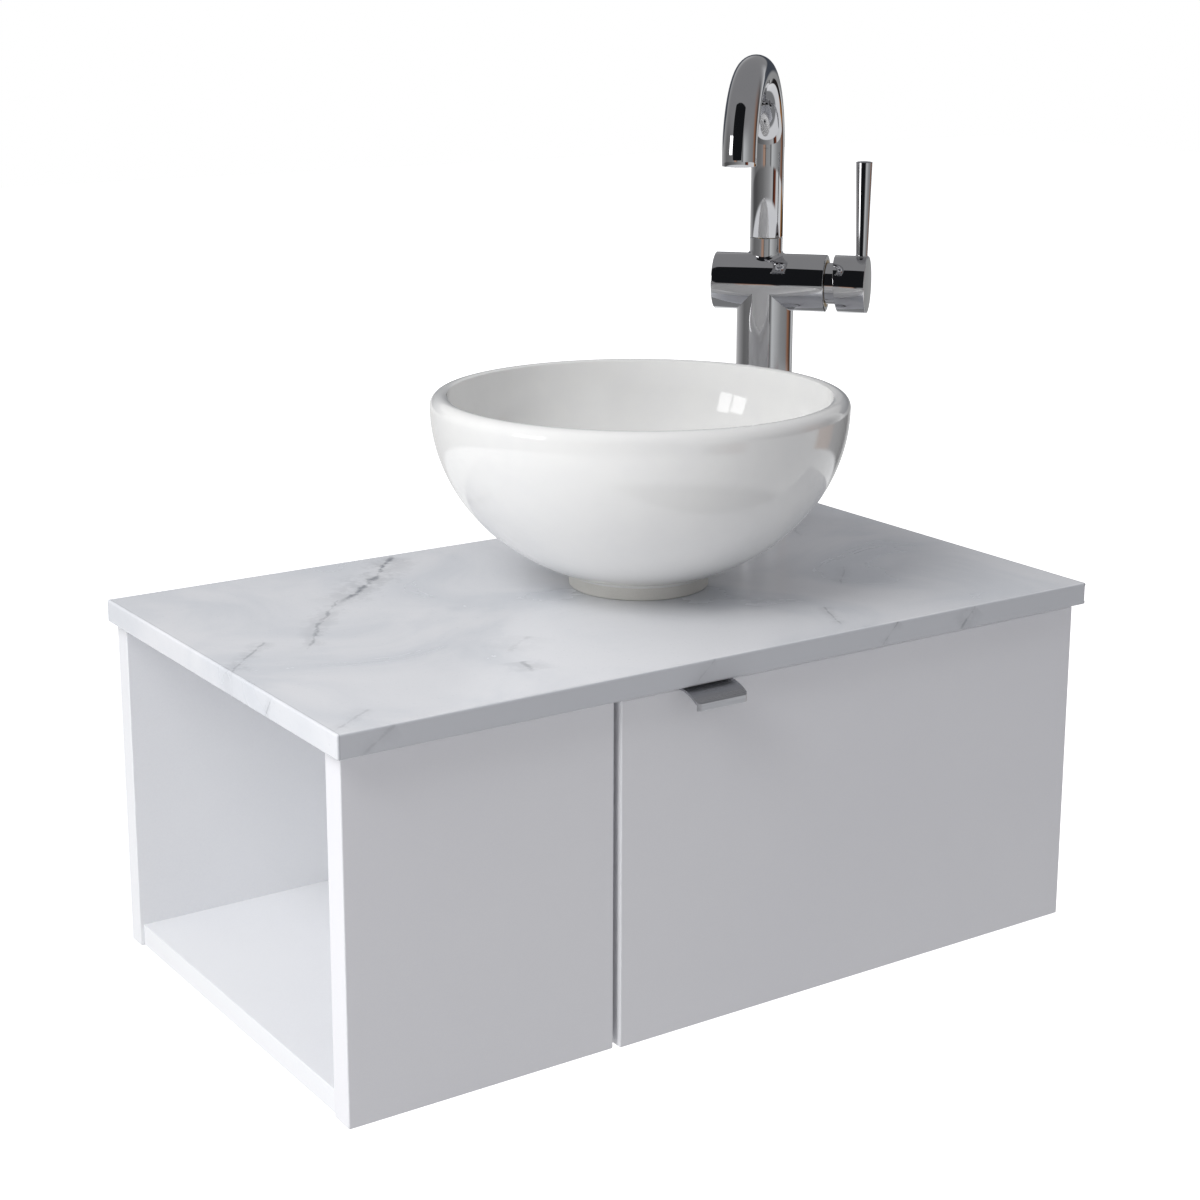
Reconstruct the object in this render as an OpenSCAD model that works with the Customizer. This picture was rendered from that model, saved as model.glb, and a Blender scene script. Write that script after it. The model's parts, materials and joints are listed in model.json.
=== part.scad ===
// Wall-hung vanity: a stone-look countertop on a white cabinet, with a vessel
// basin, a tall single-lever mixer, a click waste and a bottle trap.
// Millimetres. Origin: on the wall, at the middle of the countertop's width,
// level with the cabinet's underside. +X right, +Y into the wall, +Z up.

/* [Countertop] */
// Width of the countertop along the wall
slab_w = 600; // [560:1:800]
// Depth of the countertop, from the wall to its front edge
slab_d = 344; // [330:1:440]
// Thickness of the countertop
slab_t = 16; // [12:0.5:24]
// Radius that eases the countertop's edges
slab_ease = 1.6; // [0.5:0.1:3]

/* [Cabinet] */
// Height of the cabinet under the countertop
cab_h = 239; // [235:1:320]
// Thickness of the carcass boards
board_t = 16; // [15:0.5:22]
// Thickness of the door and of the fixed front
front_t = 19; // [18.5:0.5:24]
// Countertop overhang at the left
over_left = 7; // [2:0.5:20]
// Countertop overhang at the right
over_right = 4; // [2:0.5:20]
// Countertop overhang ahead of the fixed front
over_front = 11; // [5:0.5:22]
// Distance from the cabinet's left end to the middle of the gap between the fronts
gap_from_left = 194.5; // [150:0.5:240]
// Gap between the door and the fixed front
front_gap = 4; // [2:0.5:5]
// Gap between the fronts and the underside of the countertop
top_gap = 3; // [2.5:0.1:5]
// Setback of the bottom board's open end
bottom_setback = 2.5; // [0:0.5:6]
// Width of the top rails
rail_w = 60; // [40:1:70]
// Diameter of the dowels
dowel_d = 8; // [6:1:8]
// Radius that eases the edges of the fronts
front_ease = 1; // [0.5:0.1:2]

/* [Wall fixing] */
// Diameter of the holes for the wall bolts
bolt_hole_d = 8.5; // [6:0.5:12]
// Distance between the wall bolts along the wall
bolt_span = 310; // [260:1:320]
// Distance between the upper and the lower wall bolts
bolt_rise = 160; // [120:1:170]
// Width of the cut-out for the pipes
cutout_w = 140; // [110:1:170]
// Height of the cut-out for the pipes
cutout_h = 110; // [90:1:120]

/* [Door] */
// Gap between the carcass and the back of the closed door
door_back_gap = 2.2; // [2.2:0.1:3.5]
// Distance from the hinge pin to the door's edge
pin_to_edge = 6; // [5.5:0.1:6.5]
// Depth of the hinge pin inside the door's back face
pin_depth = 10.2; // [9.5:0.1:11]
// Height of the lower hinge above the cabinet's underside
hinge_low = 50; // [40:1:70]
// Height from the upper hinge to the door's top edge
hinge_top = 50; // [40:1:70]
// Diameter of the hinge cup
cup_d = 35; // [35:0.5:36]
// Depth of the hinge cup
cup_depth = 13.5; // [13:0.1:14.5]
// Diameter of the hinge pin
pin_d = 2; // [2:0.1:2.4]

/* [Pull] */
// Width of the pull on the door's top edge
pull_w = 40; // [20:1:80]
// Distance from the door's left edge to the pull
pull_inset = 44; // [20:1:120]
// Reach of the pull ahead of the door's face
pull_reach = 20.6; // [16:0.1:30]
// Drop of the pull's upper face at its lip
pull_drop = 6.6; // [4:0.1:10]
// Thickness of the pull's plate
pull_t = 1.6; // [1.2:0.1:2]
// Height of the pull's lip
pull_lip = 4.6; // [3:0.1:8]
// Height of the flange behind the door
pull_flange_h = 20; // [16:1:30]

/* [Basin] */
// Outer radius of the basin at its widest
bowl_r = 147; // [130:1:165]
// Height of the basin's rim above the countertop
bowl_h = 138; // [110:1:160]
// Height of the basin's widest place above the countertop
bowl_belly = 130; // [102:1:150]
// Radius of the basin's foot
foot_r = 49.7; // [44:0.1:60]
// Height of the basin's foot
foot_h = 10; // [8:0.5:20]
// Thickness of the basin's wall at the rim
rim_t = 12; // [10:0.5:16]
// Thickness of the basin's floor
floor_t = 10; // [8:0.5:14]
// Distance of the basin's middle to the right of the countertop's middle
bowl_x = 33.65; // [0:0.05:60]
// Distance of the basin's middle from the wall
bowl_from_wall = 167.15; // [165:0.05:190]

/* [Waste and trap] */
// Outer diameter of the waste's threaded tube
waste_d = 42; // [38:0.5:44]
// Wall of the waste's tube
waste_wall = 3.5; // [2:0.1:4.5]
// Length of the waste's tube under the countertop
waste_drop = 36; // [30:1:44]
// Outer diameter of the waste's flange
flange_d = 66; // [58:1:72]
// Travel of the plug from closed to open
plug_lift = 9; // [5:0.5:12]
// Outer diameter of the trap's pipes
pipe_d = 32; // [30:0.5:34]
// Wall of the trap's pipes
pipe_wall = 1.5; // [1.2:0.1:2.5]
// Outer diameter of the trap's bottle
bottle_d = 60; // [54:1:70]
// Wall of the trap's bottle
bottle_wall = 2.5; // [2:0.1:4]

/* [Mixer] */
// Distance of the mixer to the right of the countertop's middle
mixer_x = 230.4; // [200:0.1:240]
// Distance of the mixer from the wall
mixer_from_wall = 56.7; // [50:0.1:70]
// Turn of the mixer about its column
mixer_turn = 48.2; // [0:0.1:60]
// Outer diameter of the column
column_d = 44; // [40:0.5:50]
// Height of the cross body's axis above the countertop
axis_h = 188.8; // [150:0.1:220]
// Diameter of the cross body and of the lever's knob
cross_d = 44.2; // [42:0.1:50]
// Length of the cross body on the closed side of the column
cross_left = 39.3; // [30:0.1:50]
// Length of the cross body on the lever's side of the column
cross_right = 48; // [46:0.1:60]
// Diameter of the hole in the countertop for the mixer
tap_hole_d = 35; // [34.5:0.5:38]
// Diameter of the threaded shank
shank_d = 32; // [28:0.5:33]

/* [Lever] */
// Distance from the column to the far end of the knob
knob_end = 80; // [74:0.5:90]
// Width of the groove before the knob, at its top
groove_top = 6; // [6:0.5:8]
// Width of the groove before the knob, at its bottom
groove_bottom = 10; // [10:0.5:12]
// Depth of the tilt pivot inside the cross body's end
pivot_depth = 2; // [2:0.5:3]
// Distance from the knob's far end to the lever rod's axis
rod_inset = 5.3; // [5.2:0.1:8]
// Length of the lever rod above the axis of the cross body
rod_top = 94.2; // [60:0.1:130]
// Diameter of the lever rod at the knob
rod_low_d = 9; // [7:0.1:9.5]
// Diameter of the lever rod at its tip
rod_tip_d = 12.6; // [9:0.1:14]

/* [Spout] */
// Diameter of the spout tube
spout_d = 25.5; // [24:0.1:28]
// Wall of the spout tube
spout_wall = 1.5; // [1.2:0.1:2]
// Radius of the spout's bend
bend_r = 59; // [50:0.5:80]
// Height of the swivel joint above the countertop
joint_h = 223.6; // [215:0.1:270]
// Height of the bend's centre above the swivel joint
neck_h = 69.4; // [50:0.1:120]
// Straight length of the spout after its bend
outlet_len = 5.5; // [3:0.1:20]

/* [Hidden] */
$fn = 96;
SMALL = 24;      // facets asked of small round pieces
eps = 0.01;      // overshoot of cuts
gap = 0.3;       // clearance between pieces that move apart
run = 0.05;      // radial clearance of a running fit

slab_top = cab_h + slab_t;
cab_l = -slab_w/2 + over_left;
cab_r = slab_w/2 - over_right;
front_y = -slab_d + over_front;              // face of the fixed front
carcass_y = front_y + front_t;               // front edges of the carcass
inner_y = -board_t;                          // front face of the back panel
gap_x = cab_l + gap_from_left;
div_l = gap_x - board_t/2;
div_r = gap_x + board_t/2;
side_in = cab_r - board_t;                   // inner face of the side panel
front_h = cab_h - top_gap;
door_l = gap_x + front_gap/2;
door_back = carcass_y - door_back_gap;
door_face = door_back - front_t;
rail_z = cab_h - board_t;
rail_set = 3;                                // setback of the front rail

dowel_in = 11;                               // dowel depth in a board's face
dowel_end = 19;                              // dowel depth in a board's edge
dowel_edge = 24;                             // first dowel from the end of a joint
rail_dowel_edge = 15;                        // the same in a rail's end
dowel_ys = [carcass_y + dowel_edge, (carcass_y + inner_y)/2, inner_y - dowel_edge];
rail_dowel_ys = [carcass_y + rail_set + rail_dowel_edge,
                 carcass_y + rail_set + rail_w - rail_dowel_edge];
rail_dowel_z = cab_h - rail_w/2;

bolt_mid = (div_r + side_in)/2;
bolt_above_rail_mid = -8;
bolt_top_z = cab_h - rail_w/2 + bolt_above_rail_mid;
bolt_xs = [bolt_mid - bolt_span/2, bolt_mid + bolt_span/2];
bolt_zs = [bolt_top_z - bolt_rise, bolt_top_z];

screw_d = 4;
screw_head_d = 8;
screw_head_h = 2.2;
back_screw_len = 40;
back_screw_zs = [60, cab_h - 75];            // in the upright boards
back_screw_edge = 45;                        // from the ends of the bottom board's bays
back_screws_at = concat(
    [for (x = [gap_x, side_in + board_t/2], z = back_screw_zs) [x, z]],
    [for (x = [cab_l, div_r]) [x + back_screw_edge, board_t/2]],
    [for (x = [div_l, side_in]) [x - back_screw_edge, board_t/2]]);

bracket_t = 2;
bracket_leg = 22;
bracket_w = 20;
bracket_screw = [3.5, 7, 2, 12];             // shank, head, head height, length
bracket_screw_in = 11;                       // from the bracket's inner corner
bracket_front = 94;                          // from the carcass's front edge
bracket_back = 94;                           // from the back panel, on the divider
bracket_side_back = bracket_back + 10;       // the same beside the mixer
bracket_at = [[div_r, 1, carcass_y + bracket_front], [div_r, 1, inner_y - bracket_back],
              [side_in, -1, carcass_y + bracket_front],
              [side_in, -1, inner_y - bracket_side_back]];

pin_x = cab_r - pin_to_edge;
pin_y = door_back - pin_depth;
cup_to_pin = 14;                             // the pin is near the cup's outer wall
cup_x = pin_x - cup_to_pin;
cup_wall = 0.8;
knuckle_r = pin_d/2 + 1;
knuckle_h = 9;
neck_t = 1.4;                                // sheet of the hinge's gooseneck
leg_clear = 3;                               // from the side panel to the gooseneck's leg
neck_len = board_t - pin_to_edge + leg_clear;
arm_h = 12;
plate_t = 3;
plate_len = 34;
plate_wing = 44;
plate_wing_w = 12;
plate_set = 20;                              // from the carcass's front edge
arm_set = 6;
arm_w = 7;
arm_wall = 1.5;
arm_back = 50;
plate_mid = carcass_y + plate_set + plate_len/2;
cup_wing_h = 58;
cup_wing_w = 18;
cup_wing_x = cup_x - 3;
cup_wing_t = 1;
hinge_zs = [hinge_low, front_h - hinge_top];
cup_screw_dz = 24;
plate_screw_dz = 16;
hinge_screw = [3.5, 6, 1.4, 13];

bumper_d = 5;
bumper_in = 3;                               // from the door's left edge
bumper_up = 22;
bumper_x = door_l + bumper_in;
bumper_zs = [bumper_up, front_h - bumper_up];

pull_l = door_l + pull_inset;
pull_r = (pull_reach*pull_reach + pull_drop*pull_drop)/(2*pull_drop);
pull_flange_t = 1.2;
pull_screw = [3, 5.5, 1.2, 14];              // shank, head, head height, length
pull_screw_dx = 10;                          // from the middle of the pull
pull_screw_down = 12;                        // from the door's top edge
pull_corner = 3;

bowl_y = -bowl_from_wall;
lip_r = bowl_h - bowl_belly;
bowl_in_r = bowl_r - rim_t;
foot_recess = 5;
foot_wall = 10;
bowl_floor = foot_recess + floor_t;
bowl_out_b = (bowl_belly - foot_h)/sqrt(1 - pow(foot_r/bowl_r, 2));
bowl_in_b = bowl_belly - bowl_floor;
bowl_steps = 22;
drain_r = waste_d/2 + 1.5;
seat_depth = 3;                              // sinking of the flange's seat
seat_z = bowl_floor - seat_depth;
waste_seal_t = 1.5;
flange_t = 2.5;
slab_drain_r = waste_d/2 + 3;
waste_end = slab_t + waste_drop;             // below the countertop's top
plug_t = 4;
plug_r = flange_d/2 - 2;
plug_stem_d = 8;
plug_z = seat_z + waste_seal_t + flange_t + gap;
guide_top = -14;
guide_h = 12;
washer_t = 3;
waste_nut_h = 10;

trap_y = bowl_y;
pipe_r = pipe_d/2;
bottle_r = bottle_d/2;
trap_nut_h = 18;
trap_drop = 27;                              // from the waste's end to the bottle's top
trap_top = cab_h - waste_drop - trap_drop;
bottle_len = 72;
cup_over = 14;
cup_len = 46;
cup_grip = 3;                                // the cup's wall outside the bottle
outlet_drop = 22;
outlet_z = trap_top - outlet_drop;
stub_len = 16;
stub_wall = 3;
trap_fit = 0.5;                              // radial room of the pipes in the trap
collar_wall = 5;                             // collar on the bottle's neck
collar_h = 10;
trap_seal_t = 2.5;
trap_nut_wall = 4;
trap_nut_cap = 3;
outlet_nut_over = 11;                        // of the outlet's nut over its stub
neck_nut_up = 2;                             // from the bottle's top to the neck's nut
cutout_under = 88;                           // cut-out under the outlet's axis
trap_cut = [bowl_x - cutout_w/2, outlet_z - cutout_under];

cross_r = cross_d/2;
column_r = column_d/2;
base_h = 4;
base_r = column_r + 3.5;
base_chamfer = 1.5;
shank_r = shank_d/2;
shank_up = 20;
shank_down = 45;
mixer_washer_r = shank_r + 11;
mixer_nut_h = 8;
nut_room = washer_t + mixer_nut_h + 6;       // height of the notch around the nut
shank_wall = 4;
column_wall = 5;
inlet_y = 6;
inlet_r = 5;
inlet_len = 10;
inlet_z = 150;
port_r = 4;
port_drop = 6;
cart_r = 17.5;
cart_seat = 12;
cart_len = cross_right - cart_seat - 11;
cart_end = cart_seat + cart_len;
nut_r = 18.3;
turn_r = 10;
turn_neck_r = 16;
turn_neck_len = 8;
pivot_x = cross_right - pivot_depth;
spindle_r = 3.5;
lever_pin_r = 1.5;
knob_bore_r = cross_r - 1.8;
knob_floor = cross_right + 15.5;
knob_top = cross_right + groove_top;
knob_bottom = cross_right + groove_bottom;
spindle_end = knob_floor + 7;
rod_x = knob_end - rod_inset;
stud_r = 2.5;
stud_len = 7;
set_screw_r = 2;
set_screw_x = knob_floor + 4;

spout_r = spout_d/2;
spout_in = spout_r - spout_wall;
stub_bore = 8.5;
bush_wall = 0.8;
nipple_r = spout_in - bush_wall - run;
nipple_h = 20;
nipple_bore = 6;
clip_h = 1.2;
bush_h = nipple_h - clip_h - 1.2;
oring_zs = [joint_h + 5, joint_h + 12];
oring_h = 2;
oring_deep = 1.6;
bend_z = joint_h + neck_h;
outlet_z2 = bend_z - outlet_len;
aerator_h = 8;
aerator_lift = 1;
aerator_r = spout_in + 0.2;                  // counterbore that the aerator screws into
aerator_wall = 1.6;

// ---------- shared shapes ----------

// Box from one corner to the other
module block(low, high) {
    translate(low) cube(high - low);
}

// Box whose twelve edges are rounded to radius r
module eased_block(low, high, r) {
    s = high - low;
    translate(low) {
        translate([r, r, 0]) cube([s.x - 2*r, s.y - 2*r, s.z]);
        translate([r, 0, r]) cube([s.x - 2*r, s.y, s.z - 2*r]);
        translate([0, r, r]) cube([s.x, s.y - 2*r, s.z - 2*r]);
        for (y = [r, s.y - r], z = [r, s.z - r])
            translate([r, y, z]) rotate([0, 90, 0]) cylinder(r = r, h = s.x - 2*r, $fn = SMALL);
        for (x = [r, s.x - r], z = [r, s.z - r])
            translate([x, r, z]) rotate([-90, 0, 0]) cylinder(r = r, h = s.y - 2*r, $fn = SMALL);
        for (x = [r, s.x - r], y = [r, s.y - r])
            translate([x, y, r]) cylinder(r = r, h = s.z - 2*r, $fn = SMALL);
        for (x = [r, s.x - r], y = [r, s.y - r], z = [r, s.z - r])
            translate([x, y, z]) sphere(r = r, $fn = SMALL);
    }
}

// Rods along X, Y and Z that start at a point
module rod_x(at, d, h) {
    translate(at) rotate([0, 90, 0]) cylinder(d = d, h = h, $fn = SMALL);
}
module rod_y(at, d, h) {
    translate(at) rotate([-90, 0, 0]) cylinder(d = d, h = h, $fn = SMALL);
}
module rod_z(at, d, h) {
    translate(at) cylinder(d = d, h = h, $fn = SMALL);
}

// Ring about Z
module ring(r_out, r_in, z, h) {
    translate([0, 0, z]) difference() {
        cylinder(r = r_out, h = h);
        translate([0, 0, -1]) cylinder(r = r_in, h = h + 2);
    }
}

// Countersunk screw along +Z, its head's face at z = 0
module flat_screw(d, head_d, head_h, len) {
    cylinder(d1 = head_d, d2 = d, h = head_h, $fn = SMALL);
    cylinder(d = d, h = len, $fn = SMALL);
}

// ---------- carcass ----------

module carcass_dowels() {
    color("burlywood") dowel_set();
}

module dowel_set() {
    len = dowel_in + dowel_end;
    for (y = dowel_ys) {
        rod_x([side_in - dowel_end, y, board_t/2], dowel_d, len);
        rod_z([gap_x, y, board_t - dowel_in], dowel_d, len);
    }
    for (y = rail_dowel_ys) {
        rod_x([div_r - dowel_in, y, rail_z + board_t/2], dowel_d, len);
        rod_x([side_in - dowel_end, y, rail_z + board_t/2], dowel_d, len);
    }
    rod_x([div_r - dowel_in, inner_y - board_t/2, rail_dowel_z], dowel_d, len);
    rod_x([side_in - dowel_end, inner_y - board_t/2, rail_dowel_z], dowel_d, len);
    for (x = [cab_l + 25, (cab_l + div_l)/2, div_l - 15])
        rod_y([x, carcass_y - dowel_in, board_t/2], dowel_d, len);
}

module back_screws() {
    color("silver") back_screw_set();
}

module back_screw_set() {
    for (p = back_screws_at)
        translate([p.x, 0, p.y]) rotate([90, 0, 0])
            flat_screw(screw_d, screw_head_d, screw_head_h, back_screw_len);
}

module bracket_screw_set() {
    s = bracket_screw;
    for (b = bracket_at) {
        x = b[0] + b[1]*(bracket_t + bracket_screw_in);
        translate([x, b[2], cab_h - bracket_t - s[2]]) {
            cylinder(d = s[1], h = s[2], $fn = SMALL);
            cylinder(d = s[0], h = s[3], $fn = SMALL);
        }
        z = cab_h - bracket_t - bracket_screw_in;
        translate([b[0] + b[1]*(bracket_t + s[2]), b[2], z]) rotate([0, -90*b[1], 0]) {
            cylinder(d = s[1], h = s[2], $fn = SMALL);
            cylinder(d = s[0], h = s[3], $fn = SMALL);
        }
    }
}

module bracket_screws() {
    color("silver") bracket_screw_set();
}

module countertop_brackets() {
    color("gainsboro") difference() {
        for (b = bracket_at) {
            far = b[0] + b[1]*bracket_leg;
            mid = b[0] + b[1]*bracket_t;
            block([min(b[0], far), b[2] - bracket_w/2, cab_h - bracket_t],
                  [max(b[0], far), b[2] + bracket_w/2, cab_h]);
            block([min(b[0], mid), b[2] - bracket_w/2, cab_h - bracket_leg],
                  [max(b[0], mid), b[2] + bracket_w/2, cab_h]);
        }
        bracket_screw_set();
    }
}

module countertop() {
    color("whitesmoke") difference() {
        eased_block([-slab_w/2, -slab_d, cab_h], [slab_w/2, 0, slab_top], slab_ease);
        translate([bowl_x, bowl_y, cab_h - 1]) cylinder(r = slab_drain_r, h = slab_t + 2);
        translate([mixer_x, -mixer_from_wall, cab_h - 1]) cylinder(d = tap_hole_d, h = slab_t + 2);
        bracket_screw_set();
    }
}

// Rounded cut-out for the pipes, through the back panel
module pipe_cutout() {
    r = 12;
    x = trap_cut.x;
    z = trap_cut.y;
    for (dx = [r, cutout_w - r], dz = [r, cutout_h - r])
        translate([x + dx, 1, z + dz]) rotate([90, 0, 0]) cylinder(r = r, h = board_t + 2);
    block([x + r, -board_t - 1, z], [x + cutout_w - r, 1, z + cutout_h]);
    block([x, -board_t - 1, z + r], [x + cutout_w, 1, z + cutout_h - r]);
}

module wall_bolt_holes() {
    for (x = bolt_xs, z = bolt_zs)
        translate([x, -3*board_t, z]) rotate([-90, 0, 0]) cylinder(d = bolt_hole_d, h = 3*board_t + 1);
}

module back_panel() {
    color("white") difference() {
        block([cab_l, -board_t, 0], [cab_r, 0, cab_h]);
        pipe_cutout();
        wall_bolt_holes();
        back_screw_set();
    }
}

module bottom_panel() {
    color("white") difference() {
        block([cab_l + bottom_setback, carcass_y, 0], [side_in, inner_y, board_t]);
        dowel_set();
        back_screw_set();
    }
}

module side_panel() {
    color("white") difference() {
        block([side_in, carcass_y, 0], [cab_r, inner_y, cab_h]);
        dowel_set();
        back_screw_set();
        bracket_screw_set();
        plate_screw_set();
    }
}

module divider_panel() {
    color("white") difference() {
        block([div_l, carcass_y, board_t], [div_r, inner_y, cab_h]);
        dowel_set();
        back_screw_set();
        bracket_screw_set();
    }
}

module fixed_front() {
    color("white") difference() {
        eased_block([cab_l, front_y, 0], [gap_x - front_gap/2, carcass_y, front_h], front_ease);
        dowel_set();
    }
}

module top_rail_front() {
    y = carcass_y + rail_set;
    color("white") difference() {
        block([div_r, y, rail_z], [side_in, y + rail_w, cab_h]);
        dowel_set();
    }
}

module top_rail_back() {
    color("white") difference() {
        block([div_r, inner_y - board_t, cab_h - rail_w], [side_in, inner_y, cab_h]);
        dowel_set();
        wall_bolt_holes();
        back_screw_set();
        // notch that clears the mixer's washer and nut
        translate([mixer_x, -mixer_from_wall, cab_h - nut_room])
            cylinder(r = mixer_washer_r + 1, h = nut_room + 1);
    }
}

// ---------- door ----------

module cup_screw_set() {
    s = hinge_screw;
    for (z = hinge_zs, dz = [-cup_screw_dz, cup_screw_dz])
        translate([cup_wing_x, door_back + cup_wing_t, z + dz]) rotate([90, 0, 0])
            flat_screw(s[0], s[1], s[2], s[3]);
}

module hinge_cup_screws() {
    color("silver") cup_screw_set();
}

module pull_screw_set() {
    s = pull_screw;
    for (dx = [-pull_screw_dx, pull_screw_dx])
        translate([pull_l + pull_w/2 + dx, door_back + pull_flange_t, front_h - pull_screw_down])
            rotate([90, 0, 0]) flat_screw(s[0], s[1], s[2], s[3]);
}

module pull_screws() {
    color("silver") pull_screw_set();
}

module door_panel() {
    color("white") difference() {
        eased_block([door_l, door_face, 0], [cab_r, door_back, front_h], front_ease);
        for (z = hinge_zs)
            translate([cup_x, door_back - cup_depth, z]) rotate([-90, 0, 0])
                cylinder(d = cup_d, h = cup_depth + 1);
        cup_screw_set();
        pull_screw_set();
    }
}

// Outline of the pull seen from its end, x is the distance ahead of the door's face
module pull_outline() {
    top = front_h + pull_t;
    intersection() {
        translate([0, top - pull_r]) difference() {
            circle(r = pull_r, $fn = 180);
            circle(r = pull_r - pull_t, $fn = 180);
        }
        translate([0, top - pull_r]) square([pull_reach, pull_r + 1]);
    }
    translate([pull_reach - pull_t, top - pull_drop - pull_lip]) square([pull_t, pull_lip]);
    translate([-front_t - pull_flange_t, front_h]) square([front_t + pull_flange_t, pull_t]);
    translate([-front_t - pull_flange_t, front_h - pull_flange_h])
        square([pull_flange_t, pull_flange_h + pull_t]);
}

module door_pull() {
    color("darkgray") difference() {
        intersection() {
            translate([pull_l, door_face, 0]) rotate([90, 0, 90])
                linear_extrude(pull_w) mirror([1, 0]) pull_outline();
            union() {
                block([pull_l, door_face - pull_reach + pull_corner, 0],
                      [pull_l + pull_w, carcass_y, cab_h]);
                block([pull_l + pull_corner, door_face - pull_reach - 1, 0],
                      [pull_l + pull_w - pull_corner, door_face, cab_h]);
                for (dx = [pull_corner, pull_w - pull_corner])
                    translate([pull_l + dx, door_face - pull_reach + pull_corner, 0])
                        cylinder(r = pull_corner, h = cab_h, $fn = 48);
            }
        }
        pull_screw_set();
    }
}

module door_bumpers() {
    color("lightgray") for (z = bumper_zs)
        rod_y([bumper_x, door_back, z], bumper_d, door_back_gap - gap);
}

module hinge_cups() {
    color("silver") difference() {
        for (z = hinge_zs) {
            translate([cup_x, door_back - cup_depth, z]) rotate([-90, 0, 0])
                cylinder(d = cup_d, h = cup_depth);
            block([cup_wing_x - cup_wing_w/2, door_back, z - cup_wing_h/2],
                  [cup_wing_x + cup_wing_w/2, door_back + cup_wing_t, z + cup_wing_h/2]);
        }
        for (z = hinge_zs) {
            translate([cup_x, door_back - cup_depth + cup_wall, z]) rotate([-90, 0, 0])
                cylinder(d = cup_d - 2*cup_wall, h = cup_depth + cup_wing_t + 1);
            // window in the cup's wall where the knuckle turns
            block([cup_x, door_back - cup_depth + cup_wall, z - knuckle_h/2 - 1],
                  [cup_x + cup_d, door_back + cup_wing_t + 1, z + knuckle_h/2 + 1]);
        }
        hinge_pin_set();
        cup_screw_set();
    }
}

module hinge_pin_set() {
    half = sqrt(pow(cup_d/2, 2) - pow(pin_x + pin_d/2 - cup_x, 2)) - 0.4;
    for (z = hinge_zs) rod_z([pin_x, pin_y, z - half], pin_d, 2*half);
}

module hinge_pins() {
    color("gray") hinge_pin_set();
}

module plate_screw_set() {
    s = hinge_screw;
    for (z = hinge_zs, dz = [-plate_screw_dz, plate_screw_dz])
        translate([side_in - plate_t, plate_mid, z + dz]) rotate([0, 90, 0])
            flat_screw(s[0], s[1], s[2], s[3]);
}

module hinge_plate_screws() {
    color("silver") plate_screw_set();
}

module hinge_plates() {
    color("silver") difference() {
        for (z = hinge_zs) {
            block([side_in - plate_t, carcass_y + plate_set, z - arm_h/2],
                  [side_in, carcass_y + plate_set + plate_len, z + arm_h/2]);
            block([side_in - plate_t, plate_mid - plate_wing_w/2, z - plate_wing/2],
                  [side_in, plate_mid + plate_wing_w/2, z + plate_wing/2]);
        }
        plate_screw_set();
    }
}

// Gooseneck that turns on the pin in the cup, and the arm that clips on the plate
module hinge_arms() {
    leg_x = pin_x - neck_len;
    arm_x = side_in - plate_t;
    arm_y = carcass_y + arm_set;
    color("silver") difference() {
        for (z = hinge_zs) translate([0, 0, z - knuckle_h/2]) {
            translate([pin_x, pin_y, 0]) cylinder(r = knuckle_r, h = knuckle_h, $fn = 48);
            block([leg_x - neck_t, pin_y - neck_t/2, 0], [pin_x - pin_d/2, pin_y + neck_t/2, knuckle_h]);
            block([leg_x - neck_t, pin_y - neck_t/2, 0], [leg_x, arm_y + 2, knuckle_h]);
            block([arm_x - arm_w, arm_y, knuckle_h/2 - arm_h/2],
                  [arm_x, arm_y + arm_back, knuckle_h/2 + arm_h/2]);
        }
        for (z = hinge_zs) {
            translate([pin_x, pin_y, z - knuckle_h]) cylinder(r = pin_d/2 + run, h = 2*knuckle_h, $fn = 48);
            // channel of the folded arm
            block([arm_x - arm_w + arm_wall, arm_y + 4, z - arm_h/2 + arm_wall],
                  [arm_x + 1, arm_y + arm_back + 1, z + arm_h/2 - arm_wall]);
        }
    }
}

// ---------- basin and waste ----------

function oval(a, b, mid, t) = [a*cos(t), mid - b*sin(t)];

// Half section of the basin, x is the radius and y the height above the countertop
module bowl_section() {
    t_out = acos(foot_r/bowl_r);
    t_seat = acos((flange_d/2 + 2)/bowl_in_r);
    polygon(concat(
        [[foot_r, 0]],
        [for (i = [0:bowl_steps]) oval(bowl_r, bowl_out_b, bowl_belly, t_out*(1 - i/bowl_steps))],
        [for (i = [1:6]) [bowl_r - lip_r + lip_r*cos(15*i), bowl_belly + lip_r*sin(15*i)]],
        [for (i = [1:6]) [bowl_in_r + (rim_t - lip_r)*(1 - sin(15*i)), bowl_belly + lip_r*cos(15*i)]],
        [for (i = [1:bowl_steps]) oval(bowl_in_r, bowl_in_b, bowl_belly, t_seat*i/bowl_steps)],
        [[flange_d/2 + 1, seat_z + seat_depth*0.7], [flange_d/2 + 1, seat_z],
         [drain_r, seat_z], [drain_r, foot_recess],
         [foot_r - foot_wall, foot_recess], [foot_r - foot_wall, 0]]));
}

module at_bowl() {
    translate([bowl_x, bowl_y, slab_top]) children();
}

module basin() {
    color("white") at_bowl() rotate_extrude($fn = 180) bowl_section();
}

module basin_gasket() {
    color("dimgray") at_bowl() ring(foot_r - foot_wall - 2, drain_r + 2, 0, foot_recess);
}

module waste_seal() {
    color("dimgray") at_bowl() ring(flange_d/2, drain_r, seat_z, waste_seal_t);
}

module waste_body() {
    base = seat_z + waste_seal_t;
    r = waste_d/2;
    color("silver") at_bowl() rotate_extrude() polygon([
        [r - waste_wall, -waste_end], [r, -waste_end], [r, base], [flange_d/2, base],
        [flange_d/2, base + flange_t - 1], [flange_d/2 - 1.5, base + flange_t],
        [r - waste_wall + 2, base + flange_t], [r - waste_wall, base + flange_t - 2]]);
}

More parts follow.
